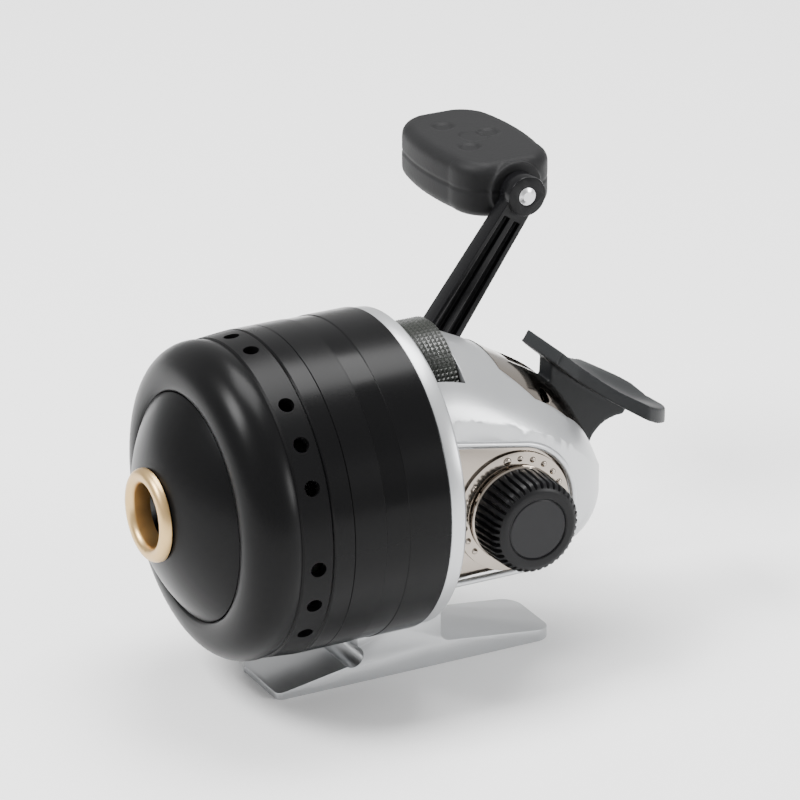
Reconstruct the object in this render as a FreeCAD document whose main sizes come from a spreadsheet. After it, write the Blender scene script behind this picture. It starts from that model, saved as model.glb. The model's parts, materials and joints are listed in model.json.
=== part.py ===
import FreeCAD, Part
import math
import os
import re

import Sketcher

# Spincast fishing reel, in millimetres, as a parametric document.
# The foot stands on the XY plane with its middle at the origin, +Z is up, and the
# line leaves the reel along -Y. The barrel's axis is parallel to Y at the height
# axis_height, and the crank's axis is parallel to X.
doc = FreeCAD.newDocument("SpincastReel")
sheet = doc.addObject("Spreadsheet::Sheet", "Sizes")

# ---------------------------------------------------------------- sizes
SIZES = [
    # the barrel, in radii from its axis and distances forward of the ring's rear face
    ("axis_height", 40.0, "barrel axis above the foot's seat"),
    ("cover_radius", 31.0, "outer radius of the front cover"),
    ("cover_wall", 1.6, "wall of the front cover and the nose"),
    ("ring_radius", 30.6, "outer radius of the front frame's ring"),
    ("ring_width", 3.35, "width of the ring that shows behind the cover"),
    ("spigot_length", 8.0, "length of the spigot inside the cover"),
    ("band_rear", 27.8, "rear groove of the cover's hole band"),
    ("band_front", 34.0, "front groove of the cover's hole band"),
    ("shoulder_front", 42.9, "foremost edge of the cover's shoulder"),
    ("shoulder_radius", 22.6, "radius of the shoulder's foremost edge"),
    ("groove_depth", 0.35, "depth of the cover's grooves"),
    ("hole_radius", 1.5, "radius of the cover's drain holes"),
    ("hole_count", 6.0, "groups of three drain holes"),
    ("hole_pitch", 15.4, "angle between the holes of a group"),
    ("hole_start", 50.9, "angle of the first group from the top"),
    ("nose_radius", 21.8, "outer radius of the nose cone"),
    ("nose_tip", 50.0, "front end of the nose cone"),
    ("guide_radius", 8.95, "outer radius of the line guide ring"),
    ("guide_bore", 6.1, "radius of the line's exit"),
    ("guide_front", 52.0, "front of the line guide ring"),
    # the spool and what turns in front of it
    ("hub_radius", 7.0, "outer radius of the hub that carries the spool"),
    ("hub_length", 28.5, "length of that hub forward of the ring's rear face"),
    ("spool_front_radius", 22.6, "front flange of the spool"),
    ("spool_rear_radius", 25.0, "rear flange of the spool"),
    ("spool_core", 12.0, "radius on which the line is wound"),
    ("line_radius", 20.0, "outer radius of the wound line"),
    ("spool_front", 27.0, "front face of the spool"),
    ("spool_rear", 7.6, "rear face of the spool"),
    ("flange", 1.3, "thickness of the spool's flanges"),
    ("washer", 1.0, "thickness of the felt washers"),
    ("head_radius", 24.8, "outer radius of the spinner head"),
    ("head_front", 38.2, "front face of the spinner head"),
    ("head_wall", 1.0, "wall of the spinner head"),
    ("head_skirt", 25.4, "rear edge of the spinner head's skirt"),
    ("shaft_radius", 1.4, "radius of the centre shaft"),
    ("sleeve_radius", 2.4, "radius of the pinion's sleeve in its bearings"),
    ("bearing_radius", 5.5, "outer radius of the shaft bearings"),
    ("bearing_width", 3.0, "width of the shaft bearings"),
    ("balls", 7.0, "balls in each bearing"),
    # the gears
    ("pinion_teeth", 9.0, "teeth of the pinion"),
    ("gear_teeth", 27.0, "teeth of the drive gear"),
    ("pinion_root", 1.8, "root radius of the pinion"),
    ("pinion_tip", 2.75, "tip radius of the pinion"),
    ("mesh_rear", 11.6, "rear end of the pinion's teeth, behind the ring"),
    ("mesh_front", 8.9, "front end of the pinion's teeth, behind the ring"),
    ("crank_drop", 6.2, "crank axis below the barrel axis"),
    ("crank_back", 16.8, "crank axis behind the ring's rear face"),
    ("tooth_inner", 8.77, "inner radius of the drive gear's teeth"),
    ("tooth_outer", 9.88, "outer radius of the drive gear's teeth"),
    ("gear_disc", 3.4, "thickness of the drive gear"),
    ("tooth_gap", 0.15, "clearance at the roots of both gears' teeth"),
    ("crank_radius", 2.4, "radius of the crank shaft"),
    # the rear body
    ("body_half", 17.6, "half width of the rear housing beside the plates"),
    ("body_top", 27.0, "top of the rear housing above the barrel axis, at its front"),
    ("body_bottom", 20.6, "bottom of the rear housing below the barrel axis, at its front"),
    ("body_wall", 1.8, "wall of the rear housing"),
    ("plate_face", 16.9, "outer face of the side plates"),
    ("plate_wall", 1.6, "thickness of the side plates"),
    ("plate_round", 12.4, "radius of the side plates' round end"),
    ("plate_top_front", 9.4, "top edge of a side plate at the front"),
    ("plate_top_rear", 6.2, "top edge of a side plate where its round end starts"),
    ("plate_bottom", 18.0, "bottom edge of a side plate below the barrel axis"),
    ("trim_drop", 5.6, "lower edge of the rear trim below the barrel axis"),
    # the drag knob
    ("dial_outer", 12.0, "outer radius of the dial ring"),
    ("dial_face", 17.8, "face of the dial ring from the middle plane"),
    ("knob_radius", 9.5, "radius of the drag knob at its base"),
    ("knob_base", 18.1, "inner face of the drag knob from the middle plane"),
    ("knob_face", 27.5, "outer face of the drag knob from the middle plane"),
    ("knob_ribs", 40.0, "ribs round the drag knob"),
    ("cap_radius", 6.0, "radius of the disc in the knob's face"),
    ("stem_radius", 2.05, "radius of the drag knob's stem"),
    ("drag_sleeve_radius", 3.6, "outer radius of the drag's sliding sleeve"),
    ("clutch_inner", 3.5, "radius on which the one-way clutch's rollers run"),
    ("clutch_outer", 6.5, "outer radius of the one-way clutch"),
    ("roller", 0.9, "radius of the one-way clutch's rollers"),
    ("rollers", 8.0, "rollers of the one-way clutch"),
    ("arm_standoff", 7.0, "length of the crank arm's hub inside the arm"),
    # the crank and its grip
    ("arm_length", 51.3, "crank axis to grip axle"),
    ("arm_inner", 31.9, "inner face of the crank arm from the middle plane"),
    ("arm_thick", 3.6, "thickness of the crank arm"),
    ("arm_angle", 35.7, "lean of the crank arm behind the upright"),
    ("boss_radius", 4.1, "radius of the crank arm's outer boss"),
    ("grip_axle_radius", 2.0, "radius of the axle in the grip"),
    ("grip_length", 35.0, "length of the grip along its axle"),
    ("grip_width", 22.4, "width of the grip"),
    ("grip_thick", 11.4, "thickness of the grip"),
    # the thumb lever
    ("pivot_back", 27.0, "lever pivot behind the ring's rear face"),
    ("pivot_rise", 12.5, "lever pivot above the barrel axis"),
    ("pin_radius", 1.2, "radius of the lever's pin"),
    ("blade_half", 2.4, "half thickness of the lever's blade"),
    ("slot_gap", 0.35, "gap between the blade and its slot"),
    ("pad_half", 13.6, "half width of the thumb pad"),
    ("pad_neck", 7.2, "half width of the thumb pad at its front edge"),
    ("pad_thick", 2.8, "thickness of the thumb pad"),
    ("button_back", 33.2, "front face of the thrust button, behind the ring"),
    ("button_length", 1.8, "length of the thrust button"),
    # the thumb wheel
    ("wheel_radius", 12.6, "radius of the thumb wheel"),
    ("wheel_rise", 15.5, "thumb wheel's axis above the barrel axis"),
    ("wheel_front", 1.0, "front face of the thumb wheel, behind the ring"),
    ("wheel_width", 7.4, "width of the thumb wheel"),
    ("wheel_grooves", 44.0, "grooves round the thumb wheel"),
    ("axle_radius", 1.5, "radius of the thumb wheel's axle"),
    ("brake_radius", 3.1, "outer radius of the spool brake's sleeve"),
    ("brake_travel", 0.5, "travel of the spool brake"),
    ("felt", 0.6, "thickness of the spool brake's felt"),
    # the foot
    ("foot_front", 28.4, "front end of the foot from its middle"),
    ("foot_rear", 31.2, "rear end of the foot from its middle"),
    ("foot_half", 8.0, "half width of the foot"),
    ("foot_thick", 4.6, "height of the foot beside its stem"),
    ("foot_tip", 1.6, "thickness of the foot's ends"),
    ("stem_front", 6.2, "front of the foot's stem, forward of the ring"),
    ("stem_rear", 6.5, "rear of the foot's stem, behind the ring"),
    ("screw_radius", 1.0, "radius of the screws"),
    # clearances
    ("running_gap", 0.05, "radial clearance of a turning fit"),
    ("fit_gap", 0.1, "clearance between parts that are fixed together"),
    ("free_gap", 0.3, "clearance between parts that move past each other"),
]
ALIASES = {alias for alias, value, meaning in SIZES}
for row, (alias, value, meaning) in enumerate(SIZES, start=1):
    sheet.set(f"A{row}", alias)
    sheet.set(f"B{row}", str(value))
    sheet.setAlias(f"B{row}", alias)
    sheet.set(f"C{row}", meaning)
doc.recompute()

WORD = re.compile(r"[a-z][a-z_]*")


def bound(formula):
    """The formula with every size's name pointing at the sheet."""
    return WORD.sub(lambda word: "Sizes." + word.group() if word.group() in ALIASES
                    else word.group(), str(formula))


def value_of(formula):
    return float(sheet.evalExpression(bound(formula)))


# ---------------------------------------------------------------- helpers
CRANK_Y = "crank_back"
CRANK_Z = "axis_height - crank_drop"
PIVOT_Z = "axis_height + pivot_rise"
WHEEL_Z = "axis_height + wheel_rise"
SCREW_SIDE, SCREW_LOW = "wheel_radius + 2", "3.8 - body_bottom"
HOUSING_SCREWS = ((SCREW_SIDE, "11.4"), (f"-({SCREW_SIDE})", "11.4"),
                  ("body_half - 6.1", SCREW_LOW), ("6.1 - body_half", SCREW_LOW))
COLLAR_Y = "crank_back + 4.2"
FOOT_SCREWS = ("3.6", "-3.6")
FOOT_SCREW_Y = "-ring_width / 2"
PARTS = []


def place(item, x="0", y="0", z="0"):
    """Bind an object's position to formulas."""
    for letter, formula in (("x", x), ("y", y), ("z", z)):
        item.setExpression("Placement.Base." + letter, bound(formula))


def keep(item, node):
    """Give a finished sub-part the label that names its file."""
    item.Label = node
    PARTS.append(item)
    return item


def new_body(node, x="0", y="0", z="0"):
    body = doc.addObject("PartDesign::Body", node + "_body")
    place(body, x, y, z)
    return body


def origin_item(body, role):
    return next(item for item in body.Origin.OriginFeatures if item.Role == role)


def near(point, other):
    return math.hypot(point.x - other.x, point.y - other.y) < 1e-6


def pin_down(flat, limits, geometry, end, corner):
    """Tie one point of a sketch to the formulas of its two coordinates."""
    for kind, formula in (("DistanceX", corner[0]), ("DistanceY", corner[1])):
        limits.append((Sketcher.Constraint(kind, -1, 1, geometry, end, value_of(formula)), formula))


def draw_loop(flat, loop):
    """Draw one closed loop whose corners are all bound to the sheet.

    A loop is ("circle", u, v, radius), or a list of corners (u, v). A corner
    that is reached by an arc is ("arc", middle u, middle v, u, v).
    """
    limits = []
    if loop[0] == "circle":
        centre = FreeCAD.Vector(value_of(loop[1]), value_of(loop[2]), 0)
        radius = value_of(loop[3])
        ring = flat.addGeometry(Part.Circle(centre, FreeCAD.Vector(0, 0, 1), radius))
        pin_down(flat, limits, ring, 3, loop[1:3])
        limits.append((Sketcher.Constraint("Radius", ring, radius), loop[3]))
    else:
        corners = [corner[-2:] for corner in loop]
        spots = [FreeCAD.Vector(value_of(u), value_of(v), 0) for u, v in corners]
        joined = []
        for index, corner in enumerate(loop):
            start, end = spots[index - 1], spots[index]
            if corner[0] == "arc":
                middle = FreeCAD.Vector(value_of(corner[1]), value_of(corner[2]), 0)
                piece = flat.addGeometry(Part.Arc(start, middle, end))
                mark = flat.addGeometry(Part.Point(middle), True)
                pin_down(flat, limits, mark, 1, corner[1:3])
                joined.append(Sketcher.Constraint("PointOnObject", mark, 1, piece))
            else:
                piece = flat.addGeometry(Part.LineSegment(start, end))
            ends = (1, 2) if near(flat.getPoint(piece, 1), start) else (2, 1)
            if index == 0:
                first = (piece, ends[0])
            else:
                joined.append(Sketcher.Constraint("Coincident", *last, piece, ends[0]))
            last = (piece, ends[1])
            pin_down(flat, limits, *last, corners[index])
        joined.append(Sketcher.Constraint("Coincident", *last, *first))
        flat.addConstraint(joined)
    numbers = flat.addConstraint([limit for limit, formula in limits])
    for number, (limit, formula) in zip(numbers, limits):
        flat.setExpression(f"Constraints[{number}]", bound(formula))


def sketch(body, name, role, loops, offset="0", turn=None):
    """A sketch on one of the body's own planes, moved along its normal by offset."""
    flat = body.newObject("Sketcher::SketchObject", name)
    flat.AttachmentSupport = [(origin_item(body, role), "")]
    flat.MapMode = "FlatFace"
    if turn:
        flat.AttachmentOffset = FreeCAD.Placement(FreeCAD.Vector(), turn[0], 0)
        flat.setExpression("AttachmentOffset.Rotation.Angle", bound(turn[1]))
    flat.setExpression("AttachmentOffset.Base.z", bound(offset))
    for loop in loops:
        draw_loop(flat, loop)
    return flat


def pad(body, name, role, loops, length, offset="0", middle=False, flip=False):
    """A straight pad of a sketch."""
    solid = body.newObject("PartDesign::Pad", name)
    solid.Profile = sketch(body, name + "_outline", role, loops, offset)
    solid.setExpression("Length", bound(length))
    solid.Midplane = middle
    solid.Reversed = flip
    doc.recompute()
    return solid


def pocket(body, name, role, loops, length, offset="0", middle=False, flip=False, turn=None):
    """A straight cut of a sketch, which has to take something away."""
    before = body.Shape.Volume
    cut = body.newObject("PartDesign::Pocket", name)
    cut.Profile = sketch(body, name + "_outline", role, loops, offset, turn)
    cut.setExpression("Length", bound(length))
    cut.Midplane = middle
    cut.Reversed = flip
    doc.recompute()
    if not body.Shape.Volume < before - 1e-6:
        raise ValueError(name + " takes nothing away")
    return cut


def turn_about(body, name, axis, loops, cut=False):
    """A full turn of a sketch: corners are (radius, y) about Y and (x, radius) about X."""
    role, line = {"Y": ("XY_Plane", "V_Axis"), "X": ("XZ_Plane", "H_Axis")}[axis]
    solid = body.newObject("PartDesign::Groove" if cut else "PartDesign::Revolution", name)
    flat = sketch(body, name + "_outline", role, loops)
    solid.Profile = flat
    solid.ReferenceAxis = (flat, [line])
    solid.Angle = 360
    doc.recompute()
    return solid


def turned(node, axis, loops, x="0", y="0", z="axis_height"):
    """A plain turned piece."""
    body = new_body(node, x, y, z)
    turn_about(body, node + "_turn", axis, loops)
    return keep(body, node)


def fillet(body, name, radius, chosen):
    """Round the edges of a body that a test picks."""
    edges = [f"Edge{number}" for number, edge in enumerate(body.Shape.Edges, start=1)
             if chosen(edge)]
    base = body.Tip
    soft = body.newObject("PartDesign::Fillet", name)
    soft.Base = (base, edges)
    soft.setExpression("Radius", bound(radius))
    body.Tip = soft
    doc.recompute()
    return soft


def repeat(body, name, features, axis, count, angle="360"):
    """A polar pattern of features about one of the body's own axes."""
    ring = body.newObject("PartDesign::PolarPattern", name)
    ring.Originals = features
    ring.Axis = (origin_item(body, axis + "_Axis"), [""])
    ring.Angle = value_of(angle)
    ring.setExpression("Occurrences", bound(count))
    body.Tip = ring
    doc.recompute()
    return ring


def rectangle(left, right, low, high):
    return [(left, low), (right, low), (right, high), (left, high)]


def tube(inner, outer, start, end):
    """The loop of a tube that is turned about Y."""
    return rectangle(inner, outer, start, end)


def sleeve(inner, outer, start, end):
    """The loop of a tube that is turned about X."""
    return rectangle(start, end, inner, outer)


def group(node, members):
    """Identical pieces that share one node."""
    together = doc.addObject("Part::Compound", node + "_group")
    together.Links = members
    return keep(together, node)


# ---------------------------------------------------------------- front cover and nose
def make_front_cover():
    inner = "(cover_radius - cover_wall)"
    groove = "(cover_radius - groove_depth)"
    body = new_body("front_cover", z="axis_height")
    turn_about(body, "front_cover_turn", "Y", [[
        ("cover_radius", "-ring_width"),
        ("cover_radius", "-band_rear + groove_depth"),
        (groove, "-band_rear"),
        ("cover_radius", "-band_rear - groove_depth"),
        ("cover_radius - 0.5", "-band_front + groove_depth"),
        ("cover_radius - 0.5 - groove_depth", "-band_front"),
        ("cover_radius - 0.7", "-band_front - groove_depth"),
        ("arc", "shoulder_radius + 5.6", "-shoulder_front + 1.7",
         "shoulder_radius", "-shoulder_front"),
        ("nose_radius + fit_gap", "-shoulder_front + groove_depth * 2"),
        ("nose_radius + fit_gap", "-shoulder_front + cover_wall * 1.5"),
        ("arc", "shoulder_radius + 4.4", "-shoulder_front + 3.2", inner, "-band_front"),
        (inner, "-ring_width"),
    ]])
    cuts = []
    for step in (-1, 0, 1):
        cuts.append(pocket(body, f"drain_hole_{step + 2}", "XY_Plane",
                           [("circle", "0", "-(band_front + band_rear) / 2", "hole_radius")],
                           "cover_radius * 2", flip=True,
                           turn=(FreeCAD.Vector(0, 1, 0), f"hole_start + hole_pitch * {step}")))
    repeat(body, "drain_hole_ring", cuts, "Y", "hole_count")
    return keep(body, "front_cover")


def make_nose():
    turned("nose_cone", "Y", [[
        ("nose_radius", "-shoulder_front + cover_wall * 1.5"),
        ("nose_radius", "-shoulder_front - 0.4"),
        ("arc", "(nose_radius + guide_radius) / 2", "-(shoulder_front + nose_tip) / 2 - 0.7",
         "guide_radius - 0.9", "-nose_tip"),
        ("guide_bore + cover_wall", "-nose_tip"),
        ("guide_bore + cover_wall", "-nose_tip + cover_wall * 1.3"),
        ("nose_radius - cover_wall * 2", "-shoulder_front + cover_wall"),
    ]])
    # a polished ring with a rounded front, pressed into the nose
    turned("line_guide_ring", "Y", [[
        ("guide_bore", "-nose_tip + 2.4"),
        ("guide_bore", "-guide_front + 1.3"),
        ("arc", "(guide_bore + guide_radius) / 2", "-guide_front",
         "guide_radius", "-guide_front + 1.3"),
        ("guide_radius", "-nose_tip"),
        ("guide_bore + cover_wall", "-nose_tip"),
        ("guide_bore + cover_wall", "-nose_tip + 2.4"),
    ]])


# ---------------------------------------------------------------- front frame and spool
def make_front_frame():
    """The cast ring with its spigot, its web and the hub that carries the spool."""
    spigot = "(cover_radius - cover_wall - fit_gap)"
    body = new_body("front_frame", z="axis_height")
    turn_about(body, "front_frame_turn", "Y", [[
        ("bearing_radius", "0"),
        ("ring_radius - 0.6", "0"),
        ("ring_radius", "-0.6"),
        ("ring_radius", "-ring_width + fit_gap"),
        (spigot, "-ring_width + fit_gap"),
        (spigot, "-ring_width - spigot_length"),
        (spigot + " - 1.6", "-ring_width - spigot_length"),
        (spigot + " - 1.6", "-ring_width"),
        ("hub_radius", "-ring_width"),
        ("hub_radius", "-hub_length"),
        ("bearing_radius", "-hub_length"),
        ("bearing_radius", "-hub_length + bearing_width + 0.2"),
        ("sleeve_radius + 0.8", "-hub_length + bearing_width + 0.2"),
        ("sleeve_radius + 0.8", "-bearing_width - 0.2"),
        ("bearing_radius", "-bearing_width - 0.2"),
    ]])
    # the bore for the thumb wheel's sliding sleeve
    pocket(body, "brake_bore", "XZ_Plane",
           [("circle", "0", "wheel_rise", "brake_radius + running_gap")],
           "ring_width * 3", middle=True)
    for index, (across, up) in enumerate(HOUSING_SCREWS, start=1):
        pocket(body, f"housing_screw_bore_{index}", "XZ_Plane",
               [("circle", across, up, "screw_radius + running_gap")], "ring_width * 3",
               middle=True)
    for index, across in enumerate(FOOT_SCREWS, start=1):
        pocket(body, f"foot_screw_bore_{index}", "XY_Plane",
               [("circle", across, FOOT_SCREW_Y, "screw_radius")], "14",
               offset="-ring_radius + 12")
    return keep(body, "front_frame")


def make_spool():
    turned("spool", "Y", [[
        ("hub_radius + running_gap", "-spool_rear"),
        ("spool_rear_radius", "-spool_rear"),
        ("spool_rear_radius", "-spool_rear - flange"),
        ("spool_core", "-spool_rear - flange"),
        ("spool_core", "-spool_front + flange"),
        ("spool_front_radius", "-spool_front + flange"),
        ("spool_front_radius", "-spool_front"),
        ("hub_radius + running_gap", "-spool_front"),
    ]])
    turned("wound_line", "Y", [[
        ("spool_core", "-spool_rear - flange"),
        ("line_radius", "-spool_rear - flange"),
        ("arc", "line_radius + 1", "-(spool_rear + spool_front) / 2",
         "line_radius", "-spool_front + flange"),
        ("spool_core", "-spool_front + flange"),
    ]])
    turned("spool_drag_washer", "Y",
           [tube("hub_radius + fit_gap", "spool_core", "-spool_rear", "-spool_rear + washer")])
    turned("spool_backing_washer", "Y",
           [tube("hub_radius + fit_gap", "spool_core - 1", "-spool_rear + washer",
                 "-ring_width")])
    turned("spool_clip", "Y",
           [tube("hub_radius", "hub_radius + 2", "-spool_front - 0.9", "-spool_front")])


def make_bearings():
    """Two ball bearings, each an outer race, an inner race and its balls."""
    starts = {"front": "-hub_length", "rear": "-bearing_width"}
    ball = "(bearing_radius - sleeve_radius) / 2 - 0.8"
    track = "(bearing_radius + sleeve_radius) / 2"
    outer, inner, balls = [], [], []
    for name, start in starts.items():
        end = start + " + bearing_width"
        races = (("outer", "bearing_radius - 0.7", "bearing_radius", outer),
                 ("inner", "sleeve_radius", "sleeve_radius + 0.7", inner))
        for race, small, large, members in races:
            body = new_body(f"{name}_{race}_race", z="axis_height")
            turn_about(body, f"{name}_{race}_turn", "Y", [tube(small, large, start, end)])
            members.append(body)
        for index in range(round(value_of("balls"))):
            angle = f"{index} * 360 / balls"
            sphere = doc.addObject("Part::Sphere", f"{name}_ball_{index + 1}")
            sphere.setExpression("Radius", bound(ball))
            place(sphere, f"({track}) * sin({angle})", f"{start} + bearing_width / 2",
                  f"axis_height + ({track}) * cos({angle})")
            balls.append(sphere)
    group("bearing_outer_races", outer)
    group("bearing_inner_races", inner)
    group("bearing_balls", balls)


# ---------------------------------------------------------------- pinion, shaft, spinner head
def make_pinion():
    """A long sleeve in the two bearings, with teeth behind the ring."""
    body = new_body("pinion_gear", z="axis_height")
    turn_about(body, "pinion_turn", "Y", [[
        ("shaft_radius + running_gap", "-hub_length - 0.5"),
        ("sleeve_radius", "-hub_length - 0.5"),
        ("sleeve_radius", "mesh_front - free_gap * 4"),
        ("pinion_root", "mesh_front - free_gap * 3"),
        ("pinion_root", "mesh_rear"),
        ("shaft_radius + running_gap", "mesh_rear"),
    ]])
    tooth = pad(body, "pinion_tooth", "XZ_Plane", [[
        ("-0.41", "pinion_root - 0.1"), ("0.41", "pinion_root - 0.1"),
        ("0.16", "pinion_tip"), ("-0.16", "pinion_tip")]],
        "mesh_rear - mesh_front", offset="-mesh_rear")
    repeat(body, "pinion_teeth_ring", [tooth], "Y", "pinion_teeth")
    body.Placement.Rotation = FreeCAD.Rotation(FreeCAD.Vector(0, 1, 0), 90)
    return keep(body, "pinion_gear")


def make_shaft():
    """The centre shaft, which slides in the pinion and pushes the spinner head forward."""
    turned("centre_shaft", "Y", [[
        ("0", "-head_front - 3"), ("shaft_radius - 0.2", "-head_front - 3"),
        ("shaft_radius", "-head_front - 2.8"), ("shaft_radius", "button_back + 1"),
        ("0", "button_back + 1")]])
    turned("shaft_collar", "Y",
           [tube("shaft_radius", "shaft_radius + 0.55", COLLAR_Y, COLLAR_Y + " + 1.5")])
    turned("head_nut", "Y",
           [tube("shaft_radius", "shaft_radius + 2", "-head_front - 2", "-head_front")])
    turned("spinner_head", "Y", [[
        ("shaft_radius", "-head_front"),
        ("head_radius - 8", "-head_front"),
        ("arc", "head_radius - 2.2", "-head_front + 2", "head_radius", "-head_front + 7"),
        ("head_radius", "-head_skirt"),
        ("head_radius - head_wall", "-head_skirt"),
        ("head_radius - head_wall", "-head_front + 7"),
        ("arc", "head_radius - head_wall - 1.9", "-head_front + head_wall + 1.6",
         "head_radius - 8", "-head_front + head_wall"),
        ("hub_radius + 2.4", "-head_front + head_wall"),
        ("hub_radius - 2", "-hub_length - 2"),
        ("shaft_radius", "-hub_length - 2"),
    ]])
    pins = []
    for index in range(2):
        pin = doc.addObject("Part::Cylinder", f"pickup_pin_{index + 1}")
        pin.setExpression("Radius", "0.8")
        pin.setExpression("Height", "1.6")
        side = 1 - 2 * index
        pin.Placement.Rotation = FreeCAD.Rotation(FreeCAD.Vector(0, 1, 0), 90 * side)
        place(pin, f"{side} * head_radius", "-head_front + 9", "axis_height")
        pins.append(pin)
    group("pickup_pins", pins)


def make_return_spring():
    """A helical spring from the pinion's end to the shaft's collar."""
    wire, turns = 0.2, 7
    radius = value_of("shaft_radius + 0.35")
    start = value_of("mesh_rear") + wire
    length = value_of(COLLAR_Y) - wire - start
    coil = Part.makeHelix(length / turns, length, radius)
    section = Part.Wire(Part.makeCircle(wire, FreeCAD.Vector(radius, 0, 0),
                                        FreeCAD.Vector(0, 1, 0)))
    spring = doc.addObject("Part::Feature", "return_spring_coil")
    spring.Shape = Part.Wire(coil).makePipeShell([section], True, True)
    spring.Placement.Rotation = FreeCAD.Rotation(FreeCAD.Vector(1, 0, 0), -90)
    place(spring, y=str(start), z="axis_height")
    return keep(spring, "return_spring")


def make_shaft_support():
    """The plate that guides the shaft's rear end, and the button the lever pushes."""
    body = new_body("shaft_guide")
    pad(body, "guide_plate", "XZ_Plane", [
        [("-8", "axis_height - 17"), ("8", "axis_height - 17"), ("8", "axis_height + 3"),
         ("arc", "0", "axis_height + 6", "-8", "axis_height + 3")],
        ("circle", "0", "axis_height", "shaft_radius + running_gap")],
        "1.6", offset="-crank_back - 13.4")
    keep(body, "shaft_guide")
    turned("thrust_button", "Y", [[
        ("shaft_radius + running_gap", "button_back"),
        ("shaft_radius + 1.8", "button_back"),
        ("shaft_radius + 1.8", "button_back + 0.6"),
        ("shaft_radius + 0.6", "button_back + 0.86"),
        ("arc", "shaft_radius - 0.3", "button_back + 1.556",
         "0.3", "button_back + button_length"),
        ("0", "button_back + button_length"),
        ("0", "button_back + 1 + running_gap"),
        ("shaft_radius + running_gap", "button_back + 1 + running_gap"),
    ]])


# ---------------------------------------------------------------- crank and drive gear
def make_crank_shaft():
    gear_left = "-pinion_tip - tooth_gap - gear_disc"
    turned("crank_shaft", "X", [[
        ("-arm_inner - arm_thick - 4", "0"),
        ("-arm_inner - arm_thick - 4", "crank_radius - 0.4"),
        ("-arm_inner", "crank_radius - 0.4"),
        ("-arm_inner", "crank_radius"),
        (gear_left + " - washer - 1.2", "crank_radius"),
        (gear_left + " - washer - 1.2", "crank_radius + 4.6"),
        (gear_left + " - washer", "crank_radius + 4.6"),
        (gear_left + " - washer", "crank_radius"),
        ("plate_face - 5.2", "crank_radius"),
        ("plate_face - 5.2", "0"),
    ]], y=CRANK_Y, z=CRANK_Z)
    turned("gear_friction_washer", "X",
           [sleeve("crank_radius", "crank_radius + 4.6", gear_left + " - washer", gear_left)],
           y=CRANK_Y, z=CRANK_Z)
    turned("drag_washer", "X",
           [sleeve("crank_radius", "crank_radius + 2.4", "-pinion_tip - tooth_gap",
                   "-pinion_tip - tooth_gap + 0.7")], y=CRANK_Y, z=CRANK_Z)


def make_drive_gear():
    """A face gear whose straight teeth lie along the pinion where they meet it."""
    face = "(-pinion_tip - tooth_gap)"
    tip = "(-pinion_root - tooth_gap)"
    body = new_body("drive_gear", y=CRANK_Y, z=CRANK_Z)
    turn_about(body, "gear_turn", "X", [[
        (face + " - gear_disc", "crank_radius + running_gap"),
        (face + " - gear_disc", "tooth_outer"),
        (face, "tooth_outer"),
        (face, "crank_radius + running_gap"),
    ]])
    reach = "sqrt(tooth_outer ^ 2 - crank_drop ^ 2)"
    tooth = pad(body, "gear_tooth", "XZ_Plane", [[
        (face + " - 0.2", "crank_drop - 0.36"), (tip, "crank_drop - 0.15"),
        (tip, "crank_drop + 0.15"), (face + " - 0.2", "crank_drop + 0.36")]],
        reach + " - sqrt(tooth_inner ^ 2 - crank_drop ^ 2)",
        offset="sqrt(tooth_inner ^ 2 - crank_drop ^ 2)")
    repeat(body, "gear_teeth_ring", [tooth], "X", "gear_teeth")
    return keep(body, "drive_gear")


def make_crank_arm():
    """The arm leans back at rest; it is drawn upright and its placement leans it."""
    body = new_body("crank_arm", y=CRANK_Y, z=CRANK_Z)
    pad(body, "arm_blade", "YZ_Plane", [[
        ("-4.4", "0"), ("arc", "0", "-5", "4.4", "0"),
        ("boss_radius - 1.2", "arm_length"),
        ("arc", "0", "arm_length + boss_radius - 0.6", "-boss_radius + 1.2", "arm_length"),
    ]], "arm_thick", offset="-arm_inner - arm_thick")
    pad(body, "arm_hub", "YZ_Plane", [("circle", "0", "0", "5.4")], "arm_thick + arm_standoff",
        offset="-arm_inner - arm_thick")
    pad(body, "arm_boss", "YZ_Plane", [("circle", "0", "arm_length", "boss_radius")],
        "arm_thick + 0.5", offset="-arm_inner - arm_thick - 0.2")
    # a channel runs along the inner face with a rib left in its middle
    for side, name in ((-1, "arm_channel_rear"), (1, "arm_channel_front")):
        pocket(body, name, "YZ_Plane", [[
            (f"{side} * 0.7", "7.4"), (f"{side} * 2.9", "7.4"),
            (f"{side} * (boss_radius - 2)", "arm_length - boss_radius - 1.4"),
            (f"{side} * 0.6", "arm_length - boss_radius - 1.4")]], "1.2", offset="-arm_inner")
    pocket(body, "arm_hub_bore", "YZ_Plane", [("circle", "0", "0", "crank_radius")], "arm_standoff",
           offset="-arm_inner + arm_standoff")
    pocket(body, "arm_hub_seat", "YZ_Plane", [("circle", "0", "0", "crank_radius - 0.4")],
           "arm_thick + 1", offset="-arm_inner + 1")
    pocket(body, "arm_boss_bore", "YZ_Plane",
           [("circle", "0", "arm_length", "grip_axle_radius - 0.2")],
           "arm_thick * 3", offset="-arm_inner + arm_thick")
    body.Placement.Rotation = FreeCAD.Rotation(FreeCAD.Vector(1, 0, 0), 0)
    body.setExpression("Placement.Rotation.Angle", bound("-arm_angle"))
    keep(body, "crank_arm")
    turned("crank_nut", "X", [[
        ("-arm_inner - arm_thick - 4.6", "0"), ("-arm_inner - arm_thick - 3.6", "3.6"),
        ("-arm_inner - arm_thick", "4.2"), ("-arm_inner - arm_thick", "crank_radius - 0.4"),
        ("-arm_inner - arm_thick - 4", "crank_radius - 0.4"),
        ("-arm_inner - arm_thick - 4", "0")]], y=CRANK_Y, z=CRANK_Z)


BOSS_Y = "crank_back + arm_length * sin(arm_angle)"
BOSS_Z = "axis_height - crank_drop + arm_length * cos(arm_angle)"


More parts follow.
